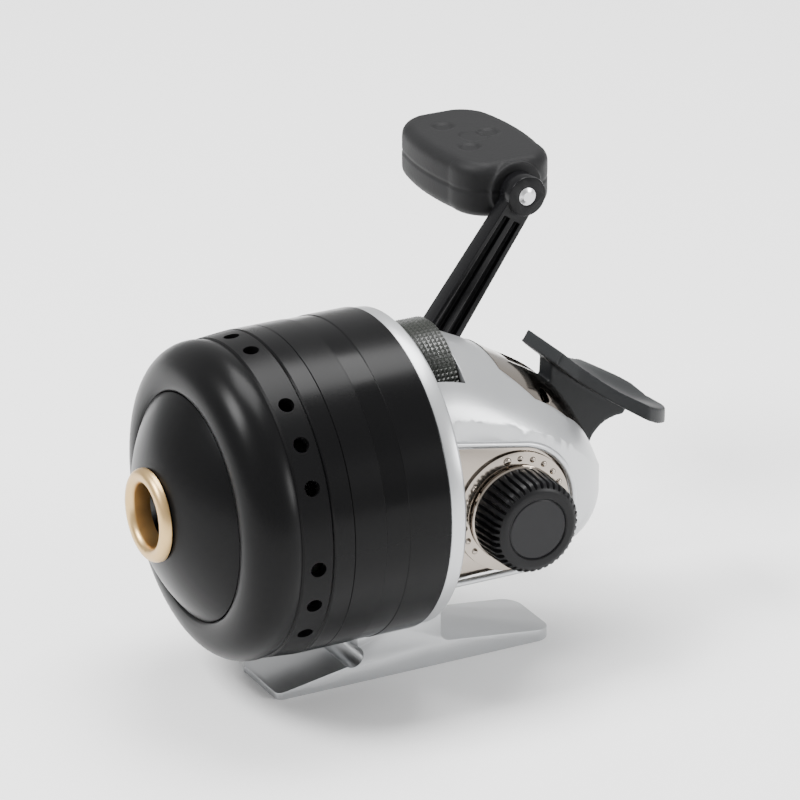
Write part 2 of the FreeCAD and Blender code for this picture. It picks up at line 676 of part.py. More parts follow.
def make_grip():
    start = "-arm_inner - arm_thick - 0.2 - free_gap"
    # the axle is riveted in the boss and runs through the grip to a head in its far end
    turned("grip_axle", "X", [[
        ("-arm_inner + 0.6", "0"), ("-arm_inner + 0.6", "1"), ("-arm_inner + 0.3", "1.75"),
        ("-arm_inner + 0.3", "grip_axle_radius - 0.2"),
        (start, "grip_axle_radius - 0.2"), (start, "grip_axle_radius"),
        (start + " - grip_length + 3", "grip_axle_radius"),
        (start + " - grip_length + 3", "grip_axle_radius + 1.2"),
        (start + " - grip_length + 2", "grip_axle_radius + 1.2"),
        (start + " - grip_length + 2", "0")]], y=BOSS_Y, z=BOSS_Z)
    body = new_body("crank_grip", y=BOSS_Y, z=BOSS_Z)
    half = "grip_width / 2"
    pad(body, "grip_paddle", "XY_Plane", [[
        ("arc", start + " - 3.4", f"-{half} + 2.4", start + " - 0.8", "-5.6"),
        (start + " - 0.8", "5.6"),
        ("arc", start + " - 3.4", f"{half} - 2.4", start + " - 9", f"{half} - 0.8"),
        ("arc", start + " - 19", half, start + " - grip_length + 6", f"{half} - 1.2"),
        ("arc", start + " - grip_length + 1.2", f"{half} - 4.6", start + " - grip_length", "3.6"),
        (start + " - grip_length", "-3.6"),
        ("arc", start + " - grip_length + 1.2", f"-{half} + 4.6",
         start + " - grip_length + 6", f"-{half} + 1.2"),
        ("arc", start + " - 19", f"-{half}", start + " - 9", f"-{half} + 0.8")]],
        "grip_thick", middle=True)
    fillet(body, "grip_corners", "grip_thick / 6", lambda edge: edge.BoundBox.ZLength > 1)
    fillet(body, "grip_round", "grip_thick * 0.22", lambda edge: edge.BoundBox.ZLength < 0.01)
    pad(body, "grip_flange", "YZ_Plane", [("circle", "0", "0", "grip_thick / 2")], "1.2",
        offset=start + " - 1.2")
    bore = "grip_axle_radius + running_gap"
    pocket(body, "grip_bore", "YZ_Plane", [("circle", "0", "0", bore)],
           "grip_length - 2", offset=start + " + 1")
    pocket(body, "grip_head_seat", "YZ_Plane",
           [("circle", "0", "0", "grip_axle_radius + 1.2 + running_gap")],
           "1 + 2 * running_gap", offset=start + " - grip_length + 3 + running_gap")
    # three round dimples in each broad face
    spots = (("-12.3", "-3.9"), ("-18.3", "3.4"), ("-25.2", "-3"))
    for index, (along, across) in enumerate(spots, start=1):
        for side, face in ((1, "top"), (-1, "bottom")):
            pocket(body, f"grip_dimple_{face}_{index}", "XY_Plane",
                   [("circle", f"{start} {along}", across, "2.1")], "0.5",
                   offset=f"{side} * grip_thick / 2", flip=side < 0)
    return keep(body, "crank_grip")


# ---------------------------------------------------------------- rear body
# sections of the rear housing: distance back, half width, top, shoulder, bottom, corner
SECTIONS = (
    ("fit_gap", "body_half", "body_top", "14.5", "body_bottom", "6"),
    ("12", "body_half", "body_top - 2.8", "12.4", "body_bottom - 0.8", "6"),
    ("22", "body_half", "body_top - 7.8", "8.6", "body_bottom - 1.4", "6.5"),
    ("30", "body_half - 1.2", "body_top - 12.7", "4", "body_bottom - 1.7", "7"),
    ("36", "body_half - 4", "body_top - 19.2", "-1", "body_bottom - 3.6", "6"),
    ("40", "body_half - 8", "body_top - 27.6", "-4.5", "body_bottom - 7.6", "3.5"),
    ("42", "body_half - 12.4", "body_top - 32", "-7", "body_bottom - 10.4", "1.2"),
)


def housing_section(body, name, section, inset):
    """One closed outline across the housing, inset all round by a wall."""
    back, half, top, shoulder, bottom, corner = section
    half = f"(({half}) - {inset})"
    top = f"({top} - {inset})"
    bottom = f"(({bottom}) - {inset})"
    curve = f"({corner} * 0.2929)"
    return sketch(body, name, "XZ_Plane", [[
        (half, f"{shoulder} - {inset} * 0.5"),
        ("arc", "0", top, f"-{half}", f"{shoulder} - {inset} * 0.5"),
        (f"-{half}", f"-{bottom} + {corner}"),
        ("arc", f"-{half} + {curve}", f"-{bottom} + {curve}", f"-{half} + {corner}",
         f"-{bottom}"),
        (f"{half} - {corner}", f"-{bottom}"),
        ("arc", f"{half} - {curve}", f"-{bottom} + {curve}", half, f"-{bottom} + {corner}"),
    ]], offset="-(" + back + ")")


def plate_loop(grow):
    """The outline of a side plate: straight at the front, round about the crank axis."""
    low = f"-plate_bottom - {grow}"
    round_end = f"(plate_round + {grow})"
    return [
        ("0.6", low), ("0.6", f"plate_top_front + {grow}"),
        ("crank_back + 3", f"plate_top_rear + {grow}"),
        ("arc", f"crank_back + {round_end}", "-crank_drop", "crank_back + 3", low),
    ]


def make_housing():
    body = new_body("rear_housing", z="axis_height")
    outer = [housing_section(body, f"housing_outer_{index}", section, "0")
             for index, section in enumerate(SECTIONS)]
    shell = body.newObject("PartDesign::AdditiveLoft", "housing_shell")
    shell.Profile = outer[0]
    shell.Sections = outer[1:]
    doc.recompute()
    inner_sections = [("-1",) + SECTIONS[0][1:]] + list(SECTIONS[1:-1])
    inner = [housing_section(body, f"housing_inner_{index}", section, "body_wall")
             for index, section in enumerate(inner_sections)]
    hollow = body.newObject("PartDesign::SubtractiveLoft", "housing_hollow")
    hollow.Profile = inner[0]
    hollow.Sections = inner[1:]
    doc.recompute()
    for index, (across, up) in enumerate(HOUSING_SCREWS, start=1):
        pad(body, f"screw_boss_{index}", "XZ_Plane",
            [("circle", across, up, "screw_radius * 2.2")], "7", offset="-7.1")
        pocket(body, f"screw_boss_bore_{index}", "XZ_Plane",
               [("circle", across, up, "screw_radius")], "6", offset="-0.1")
    # a window on each side for the side plates
    pocket(body, "plate_windows", "YZ_Plane", [plate_loop("fit_gap")],
           "body_half * 4", middle=True)
    # the notch through which the thumb wheel shows
    pocket(body, "wheel_notch", "XY_Plane", [rectangle(
        "-wheel_radius - 0.8", "wheel_radius + 0.8", "-0.5",
        "wheel_front + wheel_width + free_gap")], "20", offset="16 + 20")
    # the opening that the rear trim closes
    pocket(body, "trim_opening", "XY_Plane", [trim_loop("fit_gap")], "40 + trim_drop",
           offset="40")
    return keep(body, "rear_housing")


def trim_loop(grow):
    """The trim's outline from above: it lies round the lever's slot and down the rear."""
    return [
        (f"8.4 + {grow}", f"18.6 - {grow}"),
        (f"12.6 + {grow}", "24"),
        (f"12.4 + {grow}", "31"),
        (f"9.2 + {grow}", "39"),
        (f"6.4 + {grow}", "44"),
        (f"-6.4 - {grow}", "44"),
        (f"-9.2 - {grow}", "39"),
        (f"-12.4 - {grow}", "31"),
        (f"-12.6 - {grow}", "24"),
        (f"-8.4 - {grow}", f"18.6 - {grow}"),
    ]


def make_trim():
    """A bright cap over the rear of the housing, slotted for the thumb lever."""
    body = new_body("rear_trim", z="axis_height")
    outer = [housing_section(body, f"trim_outer_{index}", section, "0.2")
             for index, section in enumerate(SECTIONS[1:])]
    shell = body.newObject("PartDesign::AdditiveLoft", "trim_shell")
    shell.Profile = outer[0]
    shell.Sections = outer[1:]
    doc.recompute()
    inner_sections = list(SECTIONS[1:-1])
    inner = [housing_section(body, f"trim_inner_{index}", section, "body_wall")
             for index, section in enumerate(inner_sections)]
    hollow = body.newObject("PartDesign::SubtractiveLoft", "trim_hollow")
    hollow.Profile = inner[0]
    hollow.Sections = inner[1:]
    doc.recompute()
    pocket(body, "trim_edge", "XY_Plane", [rectangle("-60", "60", "-10", "80"),
                                           trim_loop("0")], "90", offset="45")
    pocket(body, "trim_foot", "XZ_Plane", [rectangle("-60", "60", "-60", "fit_gap - trim_drop")],
           "200", middle=True)
    # two lugs under the cap carry the lever's pin
    pad(body, "pin_lugs", "YZ_Plane", [[
        ("pivot_back - 2.8", "pivot_rise - 2.7"), ("pivot_back + 2.8", "pivot_rise - 2.7"),
        ("pivot_back + 2.8", "pivot_rise + 0.9"), ("pivot_back - 2.8", "pivot_rise + 3.6")]],
        "blade_half * 2 + slot_gap * 2 + 4", middle=True)
    pocket(body, "pin_bore", "YZ_Plane", [("circle", "pivot_back", "pivot_rise", "pin_radius")],
           "30", middle=True)
    pocket(body, "lever_slot", "XY_Plane", [rectangle(
        "-blade_half - slot_gap", "blade_half + slot_gap", "pivot_back - 3.4", "60")],
        "90", offset="45")
    return keep(body, "rear_trim")


# ---------------------------------------------------------------- side plates and drag
def make_side_plates():
    inner = "(plate_face - plate_wall)"
    body = new_body("dial_plate", z="axis_height")
    pad(body, "dial_sheet", "YZ_Plane", [plate_loop("0")], "plate_wall", offset=inner)
    pad(body, "dial_ring", "YZ_Plane",
        [("circle", "crank_back", "-crank_drop", "dial_outer")],
        "dial_face - plate_face + 0.4", offset="plate_face - 0.4")
    pad(body, "sleeve_boss", "YZ_Plane",
        [("circle", "crank_back", "-crank_drop", "drag_sleeve_radius + 1.6")],
        "plate_face - 7", offset="6")
    pocket(body, "stem_bore", "YZ_Plane",
           [("circle", "crank_back", "-crank_drop", "stem_radius + running_gap")],
           "30", offset="dial_face + 1")
    pocket(body, "sleeve_bore", "YZ_Plane",
           [("circle", "crank_back", "-crank_drop", "drag_sleeve_radius + running_gap")],
           "30", offset=inner)
    keep(body, "dial_plate")
    boss_end = "(arm_inner - arm_standoff - free_gap)"
    body = new_body("crank_side_plate", z="axis_height")
    pad(body, "crank_sheet", "YZ_Plane", [plate_loop("0")], "plate_wall",
        offset="-plate_face")
    pad(body, "crank_boss", "YZ_Plane",
        [("circle", "crank_back", "-crank_drop", "clutch_outer + 1.6")],
        boss_end + " - plate_face + 1", offset="-" + boss_end)
    pocket(body, "bushing_bore", "YZ_Plane",
           [("circle", "crank_back", "-crank_drop", "clutch_outer - 1.5")], "40",
           offset="-10")
    pocket(body, "clutch_bore", "YZ_Plane",
           [("circle", "crank_back", "-crank_drop", "clutch_outer")],
           boss_end + " - 1.4 - " + inner + " + 1", offset="-" + inner + " + 1")
    keep(body, "crank_side_plate")


def make_clutch():
    """The bushing and the one-way roller clutch in the crank side's boss."""
    boss_end = "(arm_inner - arm_standoff - free_gap)"
    start, end = "-" + boss_end + " + 1.4", "-plate_face + plate_wall"
    turned("crank_bushing", "X",
           [sleeve("crank_radius + running_gap", "clutch_outer - 1.5", "-" + boss_end,
                   "-" + boss_end + " + 1.4")], y=CRANK_Y, z=CRANK_Z)
    track = "clutch_inner + 0.03 + roller"
    turned("clutch_race", "X",
           [sleeve(track + " + roller + 0.03", "clutch_outer", start, end)],
           y=CRANK_Y, z=CRANK_Z)
    turned("clutch_inner_sleeve", "X", [sleeve("crank_radius", "clutch_inner", start, end)],
           y=CRANK_Y, z=CRANK_Z)
    members = []
    for index in range(round(value_of("rollers"))):
        angle = f"{index} * 360 / rollers"
        pin = doc.addObject("Part::Cylinder", f"clutch_roller_{index + 1}")
        pin.setExpression("Radius", bound("roller"))
        pin.setExpression("Height", bound(boss_end + " - 1.4 - plate_face + plate_wall"))
        pin.Placement.Rotation = FreeCAD.Rotation(FreeCAD.Vector(0, 1, 0), 90)
        place(pin, start, f"crank_back + ({track}) * cos({angle})",
              f"{CRANK_Z} + ({track}) * sin({angle})")
        members.append(pin)
    group("clutch_rollers", members)


def make_drag():
    """The drag: a knob turns the stem, whose thread pushes a sleeve along the crank shaft."""
    spring = "(-pinion_tip - tooth_gap + 0.7)"
    seat = "(plate_face - 5.2 + fit_gap)"
    turned("drag_spring", "X",
           [sleeve("crank_radius + running_gap", "crank_radius + 1.9", spring,
                   spring + " + 1")], y=CRANK_Y, z=CRANK_Z)
    turned("drag_sleeve", "X", [[
        (spring + " + 1", "crank_radius + running_gap"),
        (spring + " + 1", "drag_sleeve_radius"),
        (seat + " + 1.4", "drag_sleeve_radius"),
        (seat + " + 1.4", "stem_radius - 0.8"),
        (seat + " + 0.3", "stem_radius - 0.8"),
        (seat + " + 0.3", "crank_radius + running_gap"),
    ]], y=CRANK_Y, z=CRANK_Z)
    stop = "(plate_face - plate_wall - 0.1)"
    turned("drag_stem", "X", [[
        (seat + " + 0.5", "0"),
        (seat + " + 0.5", "stem_radius - 0.85"),
        (seat + " + 1.5", "stem_radius - 0.85"),
        (seat + " + 1.5", "stem_radius"),
        (stop + " - 0.8", "stem_radius"),
        (stop + " - 0.8", "drag_sleeve_radius - 0.4"),
        (stop, "drag_sleeve_radius - 0.4"),
        (stop, "stem_radius"),
        ("knob_face - 3", "stem_radius"),
        ("knob_face - 3", "0"),
    ]], y=CRANK_Y, z=CRANK_Z)
    turned("knob_rim", "X", [[
        ("knob_base", "knob_radius - 1.2"), ("knob_base", "knob_radius - 0.3"),
        ("knob_base + 0.3", "knob_radius"), ("knob_base + 0.9", "knob_radius"),
        ("knob_base + 1.1", "knob_radius - 0.3"), ("knob_base + 1.1", "knob_radius - 1.2"),
    ]], y=CRANK_Y, z=CRANK_Z)
    body = new_body("drag_knob", y=CRANK_Y, z=CRANK_Z)
    turn_about(body, "knob_turn", "X", [[
        ("knob_base", "stem_radius"), ("knob_base", "knob_radius - 1.2"),
        ("knob_base + 1.1", "knob_radius - 1.2"), ("knob_base + 1.1", "knob_radius - 0.4"),
        ("knob_face - 1.1", "knob_radius - 1.1"),
        ("arc", "knob_face - 0.3", "knob_radius - 1.4", "knob_face", "knob_radius - 2.2"),
        ("knob_face - 0.2", "cap_radius"),
        ("knob_face - 0.8", "cap_radius"),
        ("knob_face - 0.8", "0"), ("knob_face - 3", "0"), ("knob_face - 3", "stem_radius"),
    ]])
    rib = pocket(body, "knob_groove", "YZ_Plane", [[
        ("knob_radius - 1.7", "-0.05"), ("knob_radius + 0.2", "-0.42"),
        ("knob_radius + 0.2", "0.42"), ("knob_radius - 1.7", "0.05")]],
        "knob_face - knob_base - 3", offset="knob_face - 1.4")
    repeat(body, "knob_grooves", [rib], "X", "knob_ribs")
    mark = pad(body, "knob_mark", "YZ_Plane",
               [rectangle("cap_radius + 0.5", "knob_radius - 1.2", "-0.22", "0.22")],
               "1.3", offset="knob_face - 1.5")
    repeat(body, "knob_marks", [mark], "X", "5")
    keep(body, "drag_knob")
    turned("knob_disc", "X", [[
        ("knob_face - 0.8", "0"), ("knob_face - 0.8", "cap_radius"),
        ("knob_face - 0.4", "cap_radius"), ("knob_face - 0.2", "cap_radius - 0.3"),
        ("knob_face - 0.2", "0")]], y=CRANK_Y, z=CRANK_Z)


# ---------------------------------------------------------------- thumb lever
def make_lever():
    """A blade through the rear slot, hung on a pin, with a broad pad for the thumb."""
    body = new_body("thumb_lever", z="axis_height")
    face = "(button_back + button_length + fit_gap)"
    pad(body, "lever_pad", "YZ_Plane", [[
        ("arc", "pivot_back + 16.9", "pivot_rise - 2.2",
         "pivot_back + 6.2", "pivot_rise + 6.5"),
        ("pivot_back + 4.8", "pivot_rise + 6.5 - pad_thick * 0.8"),
        ("arc", "pivot_back + 15.4", "pivot_rise - 2.2 - pad_thick * 0.8",
         "pivot_back + 28.2", "pivot_rise - 8.7 - pad_thick"),
        ("pivot_back + 29.2", "pivot_rise - 8.8"),
    ]], "pad_half * 2", middle=True)
    plan = [
        ("pad_neck", "pivot_back + 2"), ("pad_neck - 0.4", "pivot_back + 10"),
        ("arc", "pad_neck + 2.2", "pivot_back + 16", "pad_half", "pivot_back + 21.5"),
        ("arc", "pad_half - 3", "pivot_back + 26.6", "0", "pivot_back + 28.8"),
        ("arc", "3 - pad_half", "pivot_back + 26.6", "-pad_half", "pivot_back + 21.5"),
        ("arc", "-pad_neck - 2.2", "pivot_back + 16", "0.4 - pad_neck", "pivot_back + 10"),
        ("-pad_neck", "pivot_back + 2"),
    ]
    pocket(body, "pad_outline", "XY_Plane",
           [rectangle("-pad_half - 9", "pad_half + 9", "pivot_back - 9", "pivot_back + 40"), plan],
           "60", offset="40")
    pad(body, "lever_blade", "YZ_Plane", [[
        ("arc", "pivot_back - 2.2", "pivot_rise - 0.2", "pivot_back", "pivot_rise + 2"),
        ("pivot_back + 3", "pivot_rise + 0.5"),
        ("pivot_back + 6", "pivot_rise - 1.4"),
        ("pivot_back + 6.4", "pivot_rise + 4"),
        ("pivot_back + 9", "pivot_rise + 2.2"),
        ("pivot_back + 17", "pivot_rise - 3.8"),
        ("pivot_back + 24.4", "pivot_rise - 8"),
        ("pivot_back + 22.4", "pivot_rise - 11.2"),
        ("arc", "pivot_back + 17", "pivot_rise - 12.8", "pivot_back + 14.8", "pivot_rise - 16.4"),
        ("pivot_back + 11.6", "pivot_rise - 18.7"),
        (face, "pivot_rise - 17.1"),
        (face, "pivot_rise - 9.3"),
        ("pivot_back + 3", "pivot_rise - 3.2"),
        ("pivot_back", "pivot_rise - 2.4"),
    ]], "blade_half * 2", middle=True)
    pocket(body, "lever_bore", "YZ_Plane",
           [("circle", "pivot_back", "pivot_rise", "pin_radius + running_gap")],
           "blade_half * 4", middle=True)
    keep(body, "thumb_lever")
    turned("lever_pin", "X", [rectangle("-blade_half - slot_gap - 1.9",
                                        "blade_half + slot_gap + 1.9", "0", "pin_radius")],
           y="pivot_back", z=PIVOT_Z)


# ---------------------------------------------------------------- thumb wheel and spool brake
def make_thumb_wheel():
    rear = "(wheel_front + wheel_width)"
    body = new_body("thumb_wheel", z=WHEEL_Z)
    turn_about(body, "wheel_turn", "Y", [[
        ("axle_radius + running_gap", "wheel_front"),
        ("wheel_radius - 0.5", "wheel_front"), ("wheel_radius", "wheel_front + 0.5"),
        ("wheel_radius", rear + " - 0.5"), ("wheel_radius - 0.5", rear),
        ("axle_radius + running_gap", rear)]])
    groove = pocket(body, "wheel_groove", "XZ_Plane", [[
        ("0", "wheel_radius - 0.6"), ("0.5", "wheel_radius + 0.2"),
        ("-0.5", "wheel_radius + 0.2")]], "wheel_width * 3", middle=True)
    repeat(body, "wheel_groove_ring", [groove], "Y", "wheel_grooves")
    keep(body, "thumb_wheel")
    turned("wheel_axle", "Y", [tube("0", "axle_radius", "-3", rear + " + 2.2")], z=WHEEL_Z)
    # a U-shaped bracket on the front frame holds the axle's rear end
    body = new_body("wheel_bracket", z="axis_height")
    pad(body, "bracket_legs", "XY_Plane", [[
        ("wheel_radius + 1.4", "0"), ("wheel_radius + 1.4", rear + " + 2"),
        ("-wheel_radius - 1.4", rear + " + 2"), ("-wheel_radius - 1.4", "0"),
        ("-wheel_radius - 0.6", "0"), ("-wheel_radius - 0.6", rear + " + 0.6"),
        ("wheel_radius + 0.6", rear + " + 0.6"), ("wheel_radius + 0.6", "0")]],
        "1.2", offset="wheel_rise - 1.4")
    pad(body, "bracket_eye", "XZ_Plane",
        [("circle", "0", "wheel_rise", "axle_radius + 1.6")], "1.4", offset="-" + rear + " - 2")
    pocket(body, "bracket_bore", "XZ_Plane",
           [("circle", "0", "wheel_rise", "axle_radius")], "60", middle=True)
    keep(body, "wheel_bracket")
    front = "(-spool_rear + brake_travel + fit_gap)"
    turned("brake_sleeve", "Y", [tube("axle_radius + running_gap", "brake_radius",
                                      front + " + felt", "wheel_front - fit_gap")],
           z=WHEEL_Z)
    turned("brake_felt", "Y", [tube("axle_radius + running_gap", "brake_radius", front,
                                    front + " + felt")], z=WHEEL_Z)


# ---------------------------------------------------------------- foot and screws
def make_foot():
    """The foot with its stem, whose top is hollowed to sit on the ring."""
    body = new_body("reel_foot")
    pad(body, "foot_side", "YZ_Plane", [[
        ("-foot_front", "0"), ("foot_rear", "0"), ("foot_rear", "foot_tip + 0.4"),
        ("stem_rear + 2", "foot_thick"),
        ("arc", "stem_rear + 0.6", "foot_thick + 0.6", "stem_rear", "foot_thick + 2"),
        ("stem_rear", "axis_height - body_bottom - fit_gap"),
        ("-ring_width - 8", "axis_height - body_bottom - fit_gap"),
        ("-ring_width - 8", "foot_thick + 3"),
        ("arc", "-stem_front - 4", "foot_thick + 1.6", "-stem_front - 7.4", "foot_thick - 0.8"),
        ("-foot_front", "foot_tip - 0.3"),
    ]], "foot_half * 2", middle=True)
    # the barrel sits in a round hollow across the top of the stem
    for name, radius, front, length in (
            ("ring_seat", "ring_radius", "ring_width", "ring_width + fit_gap"),
            ("cover_seat", "cover_radius + free_gap", "cover_radius", "cover_radius - ring_width")):
        pocket(body, name, "XZ_Plane", [("circle", "0", "axis_height", radius)],
               length, offset=front)
    for index, across in enumerate(FOOT_SCREWS, start=1):
        pocket(body, f"foot_screw_bore_{index}", "XY_Plane",
               [("circle", across, FOOT_SCREW_Y, "screw_radius + running_gap")], "60",
               offset="60")
        pocket(body, f"foot_screw_sink_{index}", "XY_Plane",
               [("circle", across, FOOT_SCREW_Y, "screw_radius * 2")], "2.2", offset="2.2")
    fillet(body, "foot_ends", "3.4", lambda edge: edge.BoundBox.ZLength > 0.8
           and edge.BoundBox.YLength < 0.01 and edge.BoundBox.XLength < 0.01
           and abs(edge.BoundBox.Center.x) > 6 and edge.BoundBox.Center.y > 20)
    fillet(body, "foot_front_ends", "1.6", lambda edge: edge.BoundBox.ZLength > 0.8
           and edge.BoundBox.YLength < 0.01 and edge.BoundBox.XLength < 0.01
           and abs(edge.BoundBox.Center.x) > 6 and edge.BoundBox.Center.y < -20)
    keep(body, "reel_foot")


def screw(name, radius, head, length, x, y, z, turn):
    """One screw: a head that starts at the given point and a shank beyond it."""
    top = doc.addObject("Part::Cylinder", name + "_head")
    top.setExpression("Radius", bound(radius + " * 1.9"))
    top.setExpression("Height", bound(head))
    shank = doc.addObject("Part::Cylinder", name + "_shank")
    shank.setExpression("Radius", bound(radius))
    shank.setExpression("Height", bound(f"{length} + {head}"))
    slot = doc.addObject("Part::Box", name + "_slot")
    slot.setExpression("Length", bound(radius + " * 3"))
    slot.setExpression("Width", bound(radius + " * 0.4"))
    slot.setExpression("Height", bound(head + " * 0.4"))
    place(slot, radius + " * -1.5", radius + " * -0.2")
    whole = doc.addObject("Part::MultiFuse", name + "_whole")
    whole.Shapes = [top, shank]
    cut = doc.addObject("Part::Cut", name)
    cut.Base = whole
    cut.Tool = slot
    cut.Placement.Rotation = turn
    place(cut, x, y, z)
    return cut


def make_screws():
    up = FreeCAD.Rotation()
    rearward = FreeCAD.Rotation(FreeCAD.Vector(1, 0, 0), -90)
    group("foot_screws", [
        screw(f"foot_screw_{index}", "screw_radius", "1.4", "14", across, FOOT_SCREW_Y,
              "2.2 - 1.4", up) for index, across in enumerate(FOOT_SCREWS, start=1)])
    group("housing_screws", [
        screw(f"housing_screw_{index}", "screw_radius", "1.2", "ring_width + 5", across,
              "-ring_width - 1.2", "axis_height + " + rise, rearward)
        for index, (across, rise) in enumerate(HOUSING_SCREWS, start=1)])


PART_MAKERS = [make_front_cover, make_nose, make_front_frame, make_spool, make_bearings,
               make_pinion, make_shaft, make_return_spring, make_shaft_support,
               make_crank_shaft, make_drive_gear, make_crank_arm, make_grip,
               make_housing, make_trim, make_side_plates, make_clutch, make_drag,
               make_lever, make_thumb_wheel, make_foot, make_screws]

for make in PART_MAKERS:
    make()
doc.recompute()

# ---------------------------------------------------------------- check and write
for item in doc.Objects:
    if "Invalid" in item.State or "Error" in item.State:
        raise ValueError(f"{item.Label} failed: {item.State}")
for item in PARTS:
    if item.Shape.isNull() or not item.Shape.isValid():
        raise ValueError(item.Label + " has no valid shape")
os.makedirs("parts", exist_ok=True)
for item in PARTS:
    item.Shape.exportStep(f"parts/{item.Label}.step")
    print(f"{item.Label}: {len(item.Shape.Solids)} solid(s), {item.Shape.Volume:.1f} mm3")
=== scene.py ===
import bpy
import json
import math
from mathutils import Matrix, Vector

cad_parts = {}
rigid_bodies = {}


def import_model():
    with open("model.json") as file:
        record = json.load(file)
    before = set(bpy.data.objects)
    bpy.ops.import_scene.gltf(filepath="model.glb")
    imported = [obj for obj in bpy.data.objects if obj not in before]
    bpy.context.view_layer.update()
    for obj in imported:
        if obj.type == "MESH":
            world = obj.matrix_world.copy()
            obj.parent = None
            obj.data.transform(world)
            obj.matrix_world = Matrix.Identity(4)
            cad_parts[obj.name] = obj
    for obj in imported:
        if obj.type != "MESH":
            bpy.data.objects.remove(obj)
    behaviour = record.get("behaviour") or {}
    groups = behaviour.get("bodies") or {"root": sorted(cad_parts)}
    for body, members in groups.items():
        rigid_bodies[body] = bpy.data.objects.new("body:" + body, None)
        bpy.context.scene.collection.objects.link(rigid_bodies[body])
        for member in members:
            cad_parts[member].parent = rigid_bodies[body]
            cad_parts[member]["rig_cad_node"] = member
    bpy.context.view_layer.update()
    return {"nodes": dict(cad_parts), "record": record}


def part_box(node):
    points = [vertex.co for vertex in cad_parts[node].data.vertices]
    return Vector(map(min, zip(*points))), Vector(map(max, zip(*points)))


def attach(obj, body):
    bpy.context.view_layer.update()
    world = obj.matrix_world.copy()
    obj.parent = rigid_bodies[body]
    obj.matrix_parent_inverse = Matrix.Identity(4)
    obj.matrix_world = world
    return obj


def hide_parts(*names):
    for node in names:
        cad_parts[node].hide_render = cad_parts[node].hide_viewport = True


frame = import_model()
nodes = frame["nodes"]

# ---------------------------------------------------------------- front cover
# The cover is a deep aluminium cup, spun and painted gloss black. It slips over
# the front ring's spigot, and a band of small holes round it lets water drain.
cover_low, cover_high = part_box("front_cover")
BARREL = Vector((0, 0, (cover_low.z + cover_high.z) / 2))
COVER_RADIUS = cover_high.x
COVER_REAR = cover_high.y
COVER_FRONT = cover_low.y
COVER_WALL = 0.0016
BAND_REAR, BAND_FRONT = -0.0278, -0.0340
SEAM = 0.00035
FINE_LINE = -0.0235
SHALLOW_REAR, SHALLOW_FRONT, SHALLOW = -0.0122, -0.0169, 0.00012
HOLE_RADIUS = 0.0015
HOLE_GROUPS, HOLE_PITCH, HOLE_START = 6, math.radians(15.4), math.radians(50.9)
NOSE_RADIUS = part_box("nose_cone")[1].x


def start_clean():
    """Leave edit mode and let go of everything."""
    if bpy.context.mode != "OBJECT":
        bpy.ops.object.mode_set(mode="OBJECT")
    bpy.ops.object.select_all(action="DESELECT")


def arc(start, middle, end, steps):
    """Points along the circle through three points, after the first one."""
    (ax, ay), (bx, by), (cx, cy) = start, middle, end
    twice = 2 * (ax * (by - cy) + bx * (cy - ay) + cx * (ay - by))
    a, b, c = ax * ax + ay * ay, bx * bx + by * by, cx * cx + cy * cy
    centre_x = (a * (by - cy) + b * (cy - ay) + c * (ay - by)) / twice
    centre_y = (a * (cx - bx) + b * (ax - cx) + c * (bx - ax)) / twice
    first = math.atan2(ay - centre_y, ax - centre_x)
    sweep = math.atan2(cy - centre_y, cx - centre_x) - first
    sweep = (sweep + math.pi) % (2 * math.pi) - math.pi
    radius = math.hypot(ax - centre_x, ay - centre_y)
    turns = [first + sweep * step / steps for step in range(1, steps + 1)]
    return [(centre_x + radius * math.cos(t), centre_y + radius * math.sin(t)) for t in turns]


def lathe(name, outline, centre, along=Vector((0, 1, 0)), out=Vector((0, 0, 1)), steps=144):
    """Turn a closed outline of (radius, distance along the axis) about an axis."""
    start_clean()
    corners = [centre + out * radius + along * (distance - centre.dot(along))
               for radius, distance in outline + outline[:1]]
    bpy.ops.mesh.primitive_plane_add(size=0.001, location=corners[0])
    piece = bpy.context.active_object
    piece.name = name
    bpy.ops.object.mode_set(mode="EDIT")
    bpy.ops.mesh.merge(type="CENTER")
    for before, after in zip(corners, corners[1:]):
        bpy.ops.mesh.extrude_region_move(TRANSFORM_OT_translate={"value": after - before})
    bpy.ops.mesh.select_all(action="SELECT")
    bpy.ops.mesh.spin(steps=steps, angle=2 * math.pi, center=centre, axis=along)
    bpy.ops.mesh.select_all(action="SELECT")
    bpy.ops.mesh.remove_doubles(threshold=2e-6)
    bpy.ops.mesh.normals_make_consistent(inside=False)
    bpy.ops.object.mode_set(mode="OBJECT")
    return piece


def apply_modifier(piece, kind, **settings):
    """Add one modifier to a piece and apply it."""
    bpy.context.view_layer.objects.active = piece
    modifier = piece.modifiers.new(kind.lower(), kind)
    for setting, value in settings.items():
        setattr(modifier, setting, value)
    bpy.ops.object.modifier_apply(modifier=modifier.name)


def hand_over(piece, body, material, stands_for=(), crease=30):
    """Put the piece's place in its mesh, smooth it and let it ride on its body."""
    start_clean()
    piece.select_set(True)
    bpy.context.view_layer.objects.active = piece
    bpy.ops.object.transform_apply(location=True, rotation=True, scale=True)
    bpy.ops.object.shade_smooth_by_angle(angle=math.radians(crease))
    piece.data.name = piece.name
    piece.data.materials.clear()
    piece.data.materials.append(material)
    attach(piece, body)
    if stands_for:
        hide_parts(*stands_for)


